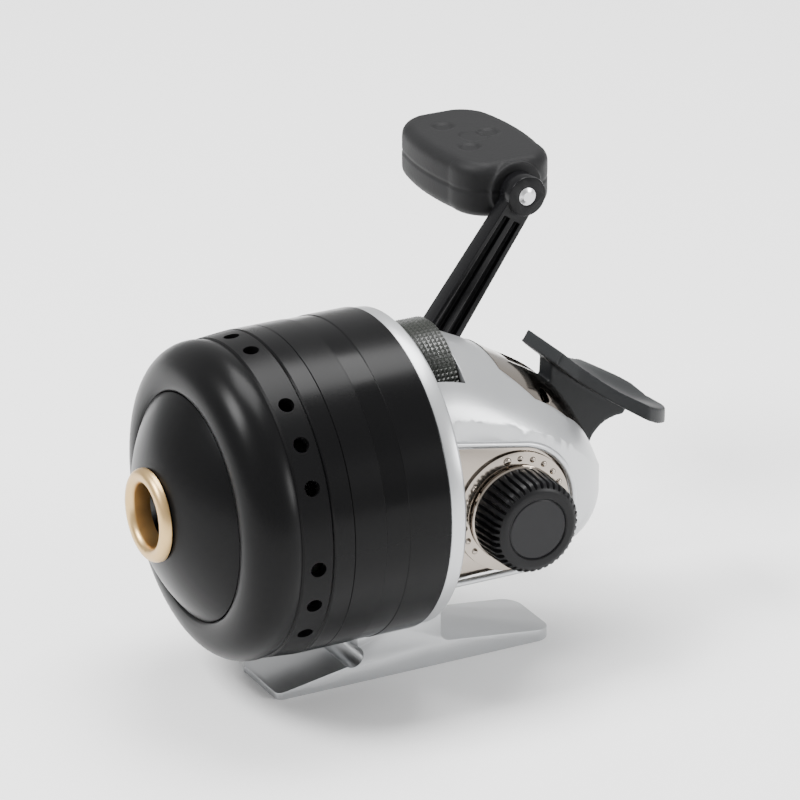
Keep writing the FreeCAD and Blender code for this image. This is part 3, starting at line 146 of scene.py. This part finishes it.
def build_grain():
    """Fine grain: a height and a roughness that wander over a surface."""
    group = bpy.data.node_groups.new("fine_grain", "ShaderNodeTree")
    for socket, kind, value in (("Position", "NodeSocketVector", None), ("Scale", "NodeSocketFloat", 900),
                                ("Roughness", "NodeSocketFloat", 0.3), ("Spread", "NodeSocketFloat", 0.05)):
        made = group.interface.new_socket(name=socket, in_out="INPUT", socket_type=kind)
        if value is not None:
            made.default_value = value
    for socket in ("Height", "Roughness", "Drift"):
        group.interface.new_socket(name=socket, in_out="OUTPUT", socket_type="NodeSocketFloat")
    enter = group.nodes.new("NodeGroupInput")
    leave = group.nodes.new("NodeGroupOutput")
    fine = group.nodes.new("ShaderNodeTexNoise")
    fine.inputs["Detail"].default_value = 3
    broad = group.nodes.new("ShaderNodeTexNoise")
    broad.inputs["Scale"].default_value = 70
    broad.inputs["Detail"].default_value = 4
    centred = group.nodes.new("ShaderNodeMath")
    centred.operation = "SUBTRACT"
    centred.inputs[1].default_value = 0.5
    spread = group.nodes.new("ShaderNodeMath")
    spread.operation = "MULTIPLY_ADD"
    link = group.links.new
    link(enter.outputs["Position"], fine.inputs["Vector"])
    link(enter.outputs["Scale"], fine.inputs["Scale"])
    link(enter.outputs["Position"], broad.inputs["Vector"])
    link(broad.outputs["Fac"], centred.inputs[0])
    link(centred.outputs[0], spread.inputs[0])
    link(enter.outputs["Spread"], spread.inputs[1])
    link(enter.outputs["Roughness"], spread.inputs[2])
    link(fine.outputs["Fac"], leave.inputs["Height"])
    link(spread.outputs[0], leave.inputs["Roughness"])
    link(broad.outputs["Fac"], leave.inputs["Drift"])
    return group


fine_grain = build_grain()


class Finish:
    """A material with its shader, its coordinates and the fine grain wired in."""

    def __init__(self, name, colour, second, roughness, spread, metallic=0.0, coat=0.0,
                 grain=900, height=0.02, gloss=0.5):
        self.material = bpy.data.materials.new(name)
        self.material.use_nodes = True
        self.nodes = self.material.node_tree.nodes
        self.link = self.material.node_tree.links.new
        self.shader = self.nodes["Principled BSDF"]
        self.shader.inputs["Metallic"].default_value = metallic
        self.shader.inputs["Coat Weight"].default_value = coat
        self.shader.inputs["Coat Roughness"].default_value = 0.08
        self.shader.inputs["Specular IOR Level"].default_value = gloss
        self.place = self.nodes.new("ShaderNodeTexCoord")
        self.grain = self.nodes.new("ShaderNodeGroup")
        self.grain.node_tree = fine_grain
        self.grain.inputs["Scale"].default_value = grain
        self.grain.inputs["Roughness"].default_value = roughness
        self.grain.inputs["Spread"].default_value = spread
        self.tint = self.nodes.new("ShaderNodeMix")
        self.tint.data_type = "RGBA"
        self.tint.inputs["A"].default_value = (*colour, 1)
        self.tint.inputs["B"].default_value = (*second, 1)
        self.bump = self.nodes.new("ShaderNodeBump")
        self.bump.inputs["Strength"].default_value = 0.6
        self.bump.inputs["Distance"].default_value = height / 1000
        self.link(self.place.outputs["Object"], self.grain.inputs["Position"])
        self.link(self.grain.outputs["Height"], self.bump.inputs["Height"])
        self.link(self.bump.outputs["Normal"], self.shader.inputs["Normal"])
        self.link(self.grain.outputs["Drift"], self.tint.inputs["Factor"])
        self.link(self.tint.outputs["Result"], self.shader.inputs["Base Color"])
        self.link(self.grain.outputs["Roughness"], self.shader.inputs["Roughness"])


def cover_paint():
    """Gloss black paint, a little more satin in bands along the barrel."""
    paint = Finish("gloss_black_paint", (0.0025, 0.0025, 0.0027), (0.004, 0.004, 0.0043), 0.24, 0.06,
                   grain=1600, height=0.004, gloss=0.10)
    split = paint.nodes.new("ShaderNodeSeparateXYZ")
    steps = paint.nodes.new("ShaderNodeMapRange")
    steps.inputs["From Min"].default_value = COVER_FRONT
    steps.inputs["From Max"].default_value = COVER_REAR
    bands = paint.nodes.new("ShaderNodeValToRGB")
    bands.color_ramp.interpolation = "CONSTANT"
    along = COVER_REAR - COVER_FRONT
    stops = ((0.0, 0.30), ((BAND_FRONT - COVER_FRONT) / along, 0.34),
             ((BAND_REAR - COVER_FRONT) / along, 0.22), ((FINE_LINE - COVER_FRONT) / along, 0.25),
             ((SHALLOW_FRONT - COVER_FRONT) / along, 0.17), ((SHALLOW_REAR - COVER_FRONT) / along, 0.22))
    ramp = bands.color_ramp
    ramp.elements[0].position, ramp.elements[1].position = stops[0][0], stops[1][0]
    for position, _grey in stops[2:]:
        ramp.elements.new(position)
    for element, (position, grey) in zip(ramp.elements, stops):
        element.color = (grey, grey, grey, 1)
    paint.link(paint.place.outputs["Object"], split.inputs[0])
    paint.link(split.outputs["Y"], steps.inputs["Value"])
    paint.link(steps.outputs["Result"], bands.inputs["Fac"])
    paint.link(bands.outputs["Color"], paint.grain.inputs["Roughness"])
    return paint.material


black_paint = cover_paint()
inner_radius = COVER_RADIUS - COVER_WALL
shoulder = (0.0226, COVER_FRONT)
cover_outline = [
    (COVER_RADIUS - 0.0003, COVER_REAR), (COVER_RADIUS, COVER_REAR - 0.0003),
    (COVER_RADIUS, SHALLOW_REAR + SHALLOW), (COVER_RADIUS - SHALLOW, SHALLOW_REAR),
    (COVER_RADIUS - SHALLOW, SHALLOW_FRONT), (COVER_RADIUS, SHALLOW_FRONT - SHALLOW),
    (COVER_RADIUS, FINE_LINE + 0.00012), (COVER_RADIUS - 0.00015, FINE_LINE),
    (COVER_RADIUS, FINE_LINE - 0.00012), (COVER_RADIUS, BAND_REAR + SEAM),
    (COVER_RADIUS - SEAM, BAND_REAR), (COVER_RADIUS - 0.00003, BAND_REAR - SEAM),
    (COVER_RADIUS - 0.0005, BAND_FRONT + SEAM), (COVER_RADIUS - 0.00085, BAND_FRONT),
    (COVER_RADIUS - 0.0007, BAND_FRONT - SEAM)]
cover_outline += arc(cover_outline[-1], (0.0282, COVER_FRONT + 0.0017), shoulder, 16)
lip = (NOSE_RADIUS + 0.0001, COVER_FRONT + 0.0005)
cover_outline += arc(shoulder, (0.0222, COVER_FRONT + 0.0002), lip, 4)
cover_outline += [(NOSE_RADIUS + 0.0001, COVER_FRONT + 0.0024)]
inner_corner = (inner_radius - 0.0004, BAND_FRONT)
cover_outline += arc(cover_outline[-1], (0.0270, COVER_FRONT + 0.0032), inner_corner, 10)
cover_outline += [(inner_radius, BAND_REAR), (inner_radius, COVER_REAR)]
cover = lathe("cover_shell", cover_outline, BARREL, steps=192)
start_clean()
hole_row = (BAND_REAR + BAND_FRONT) / 2
drills = []
for group in range(HOLE_GROUPS):
    for step in (-1, 0, 1):
        turn = HOLE_START + HOLE_PITCH * step + 2 * math.pi * group / HOLE_GROUPS
        outward = Vector((math.sin(turn), 0, math.cos(turn)))
        middle = BARREL + outward * (COVER_RADIUS - 0.001) + Vector((0, hole_row, 0))
        bpy.ops.mesh.primitive_cylinder_add(vertices=32, radius=HOLE_RADIUS, depth=0.006,
                                            location=middle, rotation=(0, turn, 0))
        drills.append(bpy.context.active_object)
start_clean()
for drill in drills:
    drill.select_set(True)
bpy.context.view_layer.objects.active = drills[0]
bpy.ops.object.join()
drill = bpy.context.active_object
apply_modifier(cover, "BOOLEAN", operation="DIFFERENCE", object=drill, solver="EXACT")
bpy.data.objects.remove(drill)
hand_over(cover, "reel_frame", black_paint, ["front_cover"], crease=24)

# ---------------------------------------------------------------- nose cone
# A shallow dished cone closes the front of the cover. It is the same gloss black,
# and drops into the cover behind a narrow groove.
nose_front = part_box("nose_cone")[0].y
ring_low, ring_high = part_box("line_guide_ring")
RING_RADIUS = ring_high.x
RING_BORE = 0.0061
nose_start = (NOSE_RADIUS, COVER_FRONT + 0.0003)
nose_outline = [(NOSE_RADIUS, COVER_FRONT + 0.0024), nose_start]
nose_outline += [(NOSE_RADIUS - 0.0003, COVER_FRONT)]
nose_outline += arc(nose_outline[-1], (0.01538, -0.04715), (RING_RADIUS - 0.0009, nose_front), 14)
nose_outline += [(RING_BORE + COVER_WALL, nose_front), (RING_BORE + COVER_WALL, nose_front + 0.0021),
                 (NOSE_RADIUS - 0.0032, COVER_FRONT + 0.0016)]
nose = lathe("nose_shell", nose_outline, BARREL, steps=128)
hand_over(nose, "reel_frame", black_paint, ["nose_cone"])

# ---------------------------------------------------------------- line guide ring
# The line leaves through a turned ring of hard pale bronze, polished smooth and
# rounded at the front so that it never frays the line.
bronze = Finish("polished_bronze", (0.62, 0.43, 0.20), (0.55, 0.37, 0.17), 0.36, 0.10,
                metallic=1.0, grain=2200, height=0.004).material
ring_back = (RING_RADIUS, nose_front)
ring_outline = [(RING_BORE, nose_front + 0.0024), (RING_BORE, ring_low.y + 0.0013)]
ring_outline += arc(ring_outline[-1], ((RING_BORE + RING_RADIUS) / 2, ring_low.y),
                    (RING_RADIUS, ring_low.y + 0.0013), 14)
ring_outline += [(RING_RADIUS, nose_front - 0.0002), (RING_RADIUS - 0.0002, nose_front),
                 (RING_BORE + COVER_WALL, nose_front), (RING_BORE + COVER_WALL, nose_front + 0.0024)]
exit_ring = lathe("exit_ring", ring_outline, BARREL, steps=96)
hand_over(exit_ring, "reel_frame", bronze, ["line_guide_ring"])

# ---------------------------------------------------------------- silver castings
# The front ring, the rear housing and the foot are die castings in a bright
# silver paint with a fine metal flake under clear lacquer.
silver = Finish("silver_flake_paint", (0.44, 0.45, 0.46), (0.50, 0.51, 0.52), 0.34, 0.06,
                metallic=0.75, coat=0.25, grain=4200, height=0.02).material


def machined_copy(node, name, rounding):
    """A clean copy of a casting or a plate with its sharp edges broken."""
    start_clean()
    source = nodes[node]
    source.select_set(True)
    bpy.context.view_layer.objects.active = source
    bpy.ops.object.duplicate()
    piece = bpy.context.active_object
    piece.name = name
    del piece["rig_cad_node"]
    bpy.ops.object.parent_clear(type="CLEAR")
    bpy.ops.object.mode_set(mode="EDIT")
    bpy.ops.mesh.select_all(action="SELECT")
    bpy.ops.mesh.remove_doubles(threshold=2e-6)
    bpy.ops.mesh.dissolve_limited(angle_limit=math.radians(0.4))
    bpy.ops.object.mode_set(mode="OBJECT")
    apply_modifier(piece, "BEVEL", width=rounding, segments=2, limit_method="ANGLE",
                   angle_limit=math.radians(38), harden_normals=False)
    return piece


ring_frame = machined_copy("front_frame", "front_ring", 0.0002)
hand_over(ring_frame, "reel_frame", silver, ["front_frame"])
housing = machined_copy("rear_housing", "rear_casing", 0.0002)
hand_over(housing, "reel_frame", silver, ["rear_housing"])
foot = machined_copy("reel_foot", "reel_foot_casting", 0.0003)
hand_over(foot, "reel_frame", silver, ["reel_foot"])

# ---------------------------------------------------------------- nickel plates and rear trim
# The side plates and the cap round the lever's slot are pressed brass with a
# polished warm nickel plating.
nickel = Finish("warm_nickel_plate", (0.34, 0.30, 0.26), (0.30, 0.265, 0.23), 0.10, 0.05,
                metallic=1.0, grain=1500, height=0.003).material
for node, name in (("dial_plate", "dial_side_plate"), ("crank_side_plate", "crank_plate"),
                   ("rear_trim", "rear_cap")):
    plate = machined_copy(node, name, 0.0002)
    hand_over(plate, "reel_frame", nickel, [node])

# ---------------------------------------------------------------- drag knob
# The drag knob is a moulded black cap with forty ribs round it, a chamfered face
# and a smooth grey disc pressed in its middle, over a thin nickel rim.
knob_low, knob_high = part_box("drag_knob")
KNOB = Vector((0, (knob_low.y + knob_high.y) / 2, (knob_low.z + knob_high.z) / 2))
KNOB_BASE, KNOB_FACE = knob_low.x, knob_high.x
KNOB_RADIUS, DISC_SEAT, STEM_RADIUS = 0.0095, 0.0060, 0.00205
RIBS = 40
SIDEWAYS = Vector((1, 0, 0))
knob_plastic = Finish("ribbed_black_plastic", (0.005, 0.005, 0.0055), (0.008, 0.008, 0.0085), 0.34,
                      0.08, grain=2600, height=0.012, gloss=0.14).material
knob_outline = [(STEM_RADIUS, KNOB_BASE), (KNOB_RADIUS - 0.0012, KNOB_BASE),
                (KNOB_RADIUS - 0.0012, KNOB_BASE + 0.0011),
                (KNOB_RADIUS - 0.0004, KNOB_BASE + 0.0011), (KNOB_RADIUS - 0.0002, KNOB_BASE + 0.0014)]
for share in (0.25, 0.5, 0.75, 1.0):
    knob_outline.append((KNOB_RADIUS - 0.0004 * share, KNOB_BASE + 0.0014 + 0.0066 * share))
knob_edge = (KNOB_RADIUS - 0.0022, KNOB_FACE)
knob_outline += arc(knob_outline[-1], (KNOB_RADIUS - 0.0014, KNOB_FACE - 0.0003), knob_edge, 5)
knob_outline += [(DISC_SEAT + 0.0002, KNOB_FACE - 0.0001), (DISC_SEAT, KNOB_FACE - 0.0003),
                 (DISC_SEAT, KNOB_FACE - 0.0008), (STEM_RADIUS, KNOB_FACE - 0.0008)]
knob = lathe("drag_knob_cap", knob_outline, KNOB, along=SIDEWAYS, out=Vector((0, 1, 0)), steps=RIBS * 6)
bpy.ops.object.mode_set(mode="EDIT")
bpy.ops.mesh.select_all(action="DESELECT")
bpy.ops.object.mode_set(mode="OBJECT")
for point in knob.data.vertices:
    spot = knob.matrix_world @ point.co
    rib = math.atan2(spot.z - KNOB.z, spot.y - KNOB.y) / (2 * math.pi) * RIBS % 1
    outer = math.hypot(spot.y - KNOB.y, spot.z - KNOB.z) > KNOB_RADIUS - 0.0015
    point.select = outer and rib < 0.45 and KNOB_BASE + 0.0015 < spot.x < KNOB_FACE - 0.0004
bpy.ops.object.mode_set(mode="EDIT")
bpy.ops.transform.resize(value=(1, 0.90, 0.90), center_override=KNOB)
bpy.ops.object.mode_set(mode="OBJECT")
hand_over(knob, "drag_knob", knob_plastic, ["drag_knob"], crease=35)

# ---------------------------------------------------------------- dial marks
# Small round studs are struck in the dial plate every fifteen degrees round the
# knob, to count the drag's steps, and the one at the top is larger.
dial_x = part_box("dial_plate")[1].x
STUD_CIRCLE, STUD_RADIUS, TOP_STUD_RADIUS = 0.0106, 0.0006, 0.000816
STUD_STEP, UPPER_ROW, LOWER_ROW, TOP_STUD = 15, 23, 143, 5
STUD_FLATTENING, STUD_SUNK = 0.6, 0.0002
stud_turns = [start + STUD_STEP * step for start in (UPPER_ROW, LOWER_ROW) for step in range(6)]
for number, turn in enumerate(stud_turns):
    start_clean()
    size = TOP_STUD_RADIUS if number == TOP_STUD else STUD_RADIUS
    angle = math.radians(turn)
    spot = Vector((dial_x, KNOB.y + STUD_CIRCLE * math.cos(angle), KNOB.z + STUD_CIRCLE * math.sin(angle)))
    bpy.ops.mesh.primitive_uv_sphere_add(segments=20, ring_count=12, radius=size, location=spot)
    stud = bpy.context.active_object
    stud.name = f"dial_stud_{number + 1}"
    bpy.ops.object.mode_set(mode="EDIT")
    bpy.ops.transform.resize(value=(STUD_FLATTENING, 1, 1), center_override=spot)
    bpy.ops.mesh.bisect(plane_co=spot - Vector((STUD_SUNK, 0, 0)), plane_no=(1, 0, 0), clear_inner=True,
                        use_fill=True)
    bpy.ops.object.mode_set(mode="OBJECT")
    hand_over(stud, "reel_frame", nickel, crease=60)
# ---------------------------------------------------------------- window beads
# A raised bead is cast round each side window of the rear casing, and the nickel
# plate drops in behind it.
plate_low, plate_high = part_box("dial_plate")
CASING_SIDE = 0.0176
ROUND_END = Vector((0, 0.0168, KNOB.z))
BEAD = 0.00065


def bead_along(name, path):
    """A round silver bead that follows a path of corners."""
    start_clean()
    bpy.ops.mesh.primitive_plane_add(size=0.001, location=path[0])
    bead = bpy.context.active_object
    bead.name = name
    bpy.ops.object.mode_set(mode="EDIT")
    bpy.ops.mesh.merge(type="CENTER")
    for before, after in zip(path, path[1:]):
        bpy.ops.mesh.extrude_region_move(TRANSFORM_OT_translate={"value": Vector(after) - Vector(before)})
    bpy.ops.object.mode_set(mode="OBJECT")
    start_clean()
    bead.select_set(True)
    bpy.context.view_layer.objects.active = bead
    bpy.ops.object.convert(target="CURVE")
    bead = bpy.context.active_object
    bead.data.bevel_depth = BEAD
    bead.data.bevel_resolution = 4
    bead.data.use_fill_caps = True
    bpy.ops.object.convert(target="MESH")
    bead = bpy.context.active_object
    hand_over(bead, "reel_frame", silver, crease=50)


for side, name in ((1, "near"), (-1, "far")):
    edge = [(0.0030, plate_high.z + 0.0007), (ROUND_END.y + 0.0030, plate_high.z - 0.0025)]
    lower_end = (ROUND_END.y + 0.0030, plate_low.z - 0.0006)
    edge += arc(edge[-1], (plate_high.y + 0.0006, ROUND_END.z), lower_end, 26)
    edge += [(0.0030, plate_low.z - 0.0006)]
    bead_along(f"window_bead_{name}", [(side * CASING_SIDE, y, z) for y, z in edge])

# ---------------------------------------------------------------- crank arm, grip and lever
# The crank arm is a black painted die casting, the grip a soft rubber paddle with
# dimples, and the thumb lever one moulding of matte charcoal plastic.
arm_paint = Finish("satin_black_paint", (0.004, 0.004, 0.0045), (0.006, 0.006, 0.0065), 0.22, 0.08,
                   grain=1500, height=0.006, gloss=0.14).material
lever_plastic = Finish("matte_charcoal_plastic", (0.010, 0.011, 0.012), (0.014, 0.015, 0.016), 0.48,
                       0.08, grain=2600, height=0.03, gloss=0.18).material
rubber = Finish("dark_rubber", (0.007, 0.007, 0.0075), (0.012, 0.012, 0.0125), 0.55, 0.10,
                grain=2200, height=0.05, gloss=0.15).material


def moulded_copy(node, name, grid, rounds):
    """A copy of a moulded part with its edges rounded over as a mould leaves them."""
    piece = machined_copy(node, name, 0.00001)
    apply_modifier(piece, "REMESH", mode="VOXEL", voxel_size=grid)
    apply_modifier(piece, "SMOOTH", factor=0.5, iterations=rounds)
    return piece


def press_in(piece, centre, reach, depth, spread, up=1):
    """Press a soft hollow into the upper or lower face of a piece."""
    bpy.context.view_layer.objects.active = piece
    for point in piece.data.vertices:
        away = math.hypot(point.co.x - centre[0], point.co.y - centre[1])
        point.select = away < reach and point.normal.z * up > 0.45
    bpy.ops.object.mode_set(mode="EDIT")
    bpy.ops.transform.translate(value=(0, 0, -depth * up), use_proportional_edit=True,
                                proportional_edit_falloff="SMOOTH", proportional_size=spread,
                                use_proportional_connected=True)
    bpy.ops.object.mode_set(mode="OBJECT")


ARM_EDGE = 0.0003
arm = machined_copy("crank_arm", "crank_arm_casting", ARM_EDGE)
hand_over(arm, "crank", arm_paint, ["crank_arm"])

grip_low, grip_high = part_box("crank_grip")
grip_middle = (grip_low + grip_high) / 2
GRIP_DISH, GRIP_DISH_SPREAD = 0.0007, 0.0085
PARTING_HALF, PARTING_DEPTH = 0.00022, 0.00016
grip = moulded_copy("crank_grip", "grip_paddle", 0.00034, 5)
for up in (1, -1):
    press_in(grip, (grip_middle.x, grip_middle.y), 0.003, GRIP_DISH, GRIP_DISH_SPREAD, up)
for point in grip.data.vertices:
    point.select = abs(point.co.z - grip_middle.z) < PARTING_HALF and abs(point.normal.z) < 0.5
bpy.ops.object.mode_set(mode="EDIT")
bpy.ops.transform.shrink_fatten(value=-PARTING_DEPTH)
bpy.ops.object.mode_set(mode="OBJECT")
hand_over(grip, "grip", rubber, ["crank_grip"], crease=180)

lever_low, lever_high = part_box("thumb_lever")
LOBE_DISH, LOBE_DISH_SPREAD = 0.0014, 0.0105
lever = moulded_copy("thumb_lever", "thumb_lever_moulding", 0.00032, 6)
press_in(lever, (0, lever_high.y - 0.0085), 0.0025, LOBE_DISH, LOBE_DISH_SPREAD)
hand_over(lever, "thumb_lever", lever_plastic, ["thumb_lever"], crease=180)

# ---------------------------------------------------------------- thumb wheel
# The brake wheel is moulded in black plastic, with a pyramid knurl all round its
# rim so that a wet thumb can turn it.
wheel_low, wheel_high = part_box("thumb_wheel")
WHEEL = (wheel_low + wheel_high) / 2
WHEEL_RADIUS = (wheel_high.x - wheel_low.x) / 2
KNURL = 0.00042
wheel_plastic = Finish("knurled_black_plastic", (0.010, 0.011, 0.010), (0.028, 0.031, 0.026), 0.30,
                       0.25, grain=3200, height=0.09, gloss=0.45).material
start_clean()
KNURL_COLUMNS, KNURL_CUTS = 84, 7
bpy.ops.mesh.primitive_cylinder_add(vertices=KNURL_COLUMNS, radius=WHEEL_RADIUS - KNURL,
                                    depth=wheel_high.y - wheel_low.y, location=WHEEL,
                                    rotation=(math.radians(90), 0, 0))
wheel = bpy.context.active_object
wheel.name = "thumb_wheel_knurled"
bpy.ops.object.transform_apply(location=True, rotation=True, scale=True)
bpy.ops.object.mode_set(mode="EDIT")
bpy.ops.mesh.select_mode(type="EDGE")
bpy.ops.mesh.select_all(action="DESELECT")
bpy.ops.object.mode_set(mode="OBJECT")
for edge in wheel.data.edges:
    first, second = (wheel.data.vertices[end].co for end in edge.vertices)
    edge.select = abs(first.y - second.y) > 0.001
bpy.ops.object.mode_set(mode="EDIT")
bpy.ops.mesh.subdivide_edgering(number_cuts=KNURL_CUTS, interpolation="LINEAR", smoothness=0)
bpy.ops.mesh.select_mode(type="FACE")
bpy.ops.mesh.select_all(action="DESELECT")
bpy.ops.object.mode_set(mode="OBJECT")
for face in wheel.data.polygons:
    face.select = abs(face.normal.y) < 0.3
bpy.ops.object.mode_set(mode="EDIT")
bpy.ops.mesh.poke(offset=KNURL)
bpy.ops.object.mode_set(mode="OBJECT")
hand_over(wheel, "thumb_wheel", wheel_plastic, ["thumb_wheel"], crease=10)

# ---------------------------------------------------------------- other parts
# Everything behind the covers keeps its machined shape and takes a plain finish of
# its own: turned steel, brass, felt, rubber or moulding compound.
steel = Finish("turned_steel", (0.52, 0.52, 0.53), (0.60, 0.60, 0.61), 0.28, 0.12,
               metallic=1.0, grain=1800, height=0.005).material
brass = Finish("machined_brass", (0.66, 0.47, 0.20), (0.58, 0.40, 0.16), 0.26, 0.10,
               metallic=1.0, grain=1800, height=0.006).material
felt = Finish("pressed_felt", (0.30, 0.27, 0.21), (0.40, 0.37, 0.30), 0.95, 0.05,
              grain=3000, height=0.12).material
disc_plastic = Finish("smooth_grey_disc", (0.008, 0.008, 0.009), (0.011, 0.011, 0.012), 0.34, 0.06,
                      grain=1500, height=0.006, gloss=0.18).material
nylon = Finish("clear_nylon_line", (0.55, 0.60, 0.52), (0.64, 0.68, 0.60), 0.22, 0.10,
               grain=900, height=0.05).material
by_slot = {"black_shell": black_paint, "bronze_ring": bronze, "silver_paint": silver, "nickel": nickel,
           "black_plastic": lever_plastic, "black_paint": arm_paint, "rubber": rubber,
           "grey_disc": disc_plastic, "wheel_plastic": wheel_plastic, "steel": steel, "brass": brass,
           "felt": felt, "line": nylon}
for part in frame["record"]["subparts"]:
    node = nodes[part["node"]]
    if not node.hide_render:
        node.data.materials.clear()
        node.data.materials.append(by_slot[part["material_slot"]])

# ---------------------------------------------------------------- floor, light and camera
# The reel stands on a plain pale sweep under large soft lamps, seen from in front
# of the drag knob and a little above.
start_clean()
bpy.ops.mesh.primitive_plane_add(size=6, location=(0, 0, -0.00005))
floor = bpy.context.active_object
floor.name = "studio_floor"
floor_paper = bpy.data.materials.new("pale_paper")
floor_paper.use_nodes = True
floor_paper.node_tree.nodes["Principled BSDF"].inputs["Base Color"].default_value = (0.98, 0.98, 0.98, 1)
floor_paper.node_tree.nodes["Principled BSDF"].inputs["Roughness"].default_value = 0.9
floor.data.materials.append(floor_paper)

AZIMUTH, ELEVATION, DISTANCE = math.radians(62.27), math.radians(22.92), 0.984
SIDE, RISE = 0.00169, 0.01219
toward = Vector((math.sin(AZIMUTH) * math.cos(ELEVATION), -math.cos(AZIMUTH) * math.cos(ELEVATION),
                 math.sin(ELEVATION)))
right = Vector((math.cos(AZIMUTH), math.sin(AZIMUTH), 0))
up = toward.cross(right)
camera_data = bpy.data.cameras.new("studio_camera")
camera_data.sensor_width = 36
camera_data.lens = 233.5
camera_data.clip_start = 0.05
camera = bpy.data.objects.new("studio_camera", camera_data)
bpy.context.scene.collection.objects.link(camera)
camera.matrix_world = Matrix.Translation(BARREL + toward * DISTANCE + right * SIDE + up * RISE) @ \
    Matrix((right, up, toward)).transposed().to_4x4()
bpy.context.scene.camera = camera


def soft_lamp(name, side, height, back, size, power):
    """A square soft lamp, placed from the camera's point of view and aimed at the reel."""
    lamp_data = bpy.data.lights.new(name, "AREA")
    lamp_data.size = size
    lamp_data.energy = power
    lamp = bpy.data.objects.new(name, lamp_data)
    bpy.context.scene.collection.objects.link(lamp)
    forward = Vector((toward.x, toward.y, 0)).normalized()
    lamp.location = BARREL + right * side + forward * back + Vector((0, 0, height))
    lamp.rotation_euler = (BARREL - lamp.location).to_track_quat("-Z", "Y").to_euler()


soft_lamp("key_lamp", -0.55, 0.75, 0.20, 0.35, 13)
soft_lamp("side_lamp", 0.75, 0.25, 0.25, 0.25, 3.5)
soft_lamp("top_lamp", 0.10, 0.90, -0.25, 0.55, 13)
world = bpy.data.worlds.new("studio_world")
world.use_nodes = True
world.node_tree.nodes["Background"].inputs["Color"].default_value = (1, 1, 1, 1)
world.node_tree.nodes["Background"].inputs["Strength"].default_value = 0.85
bpy.context.scene.world = world
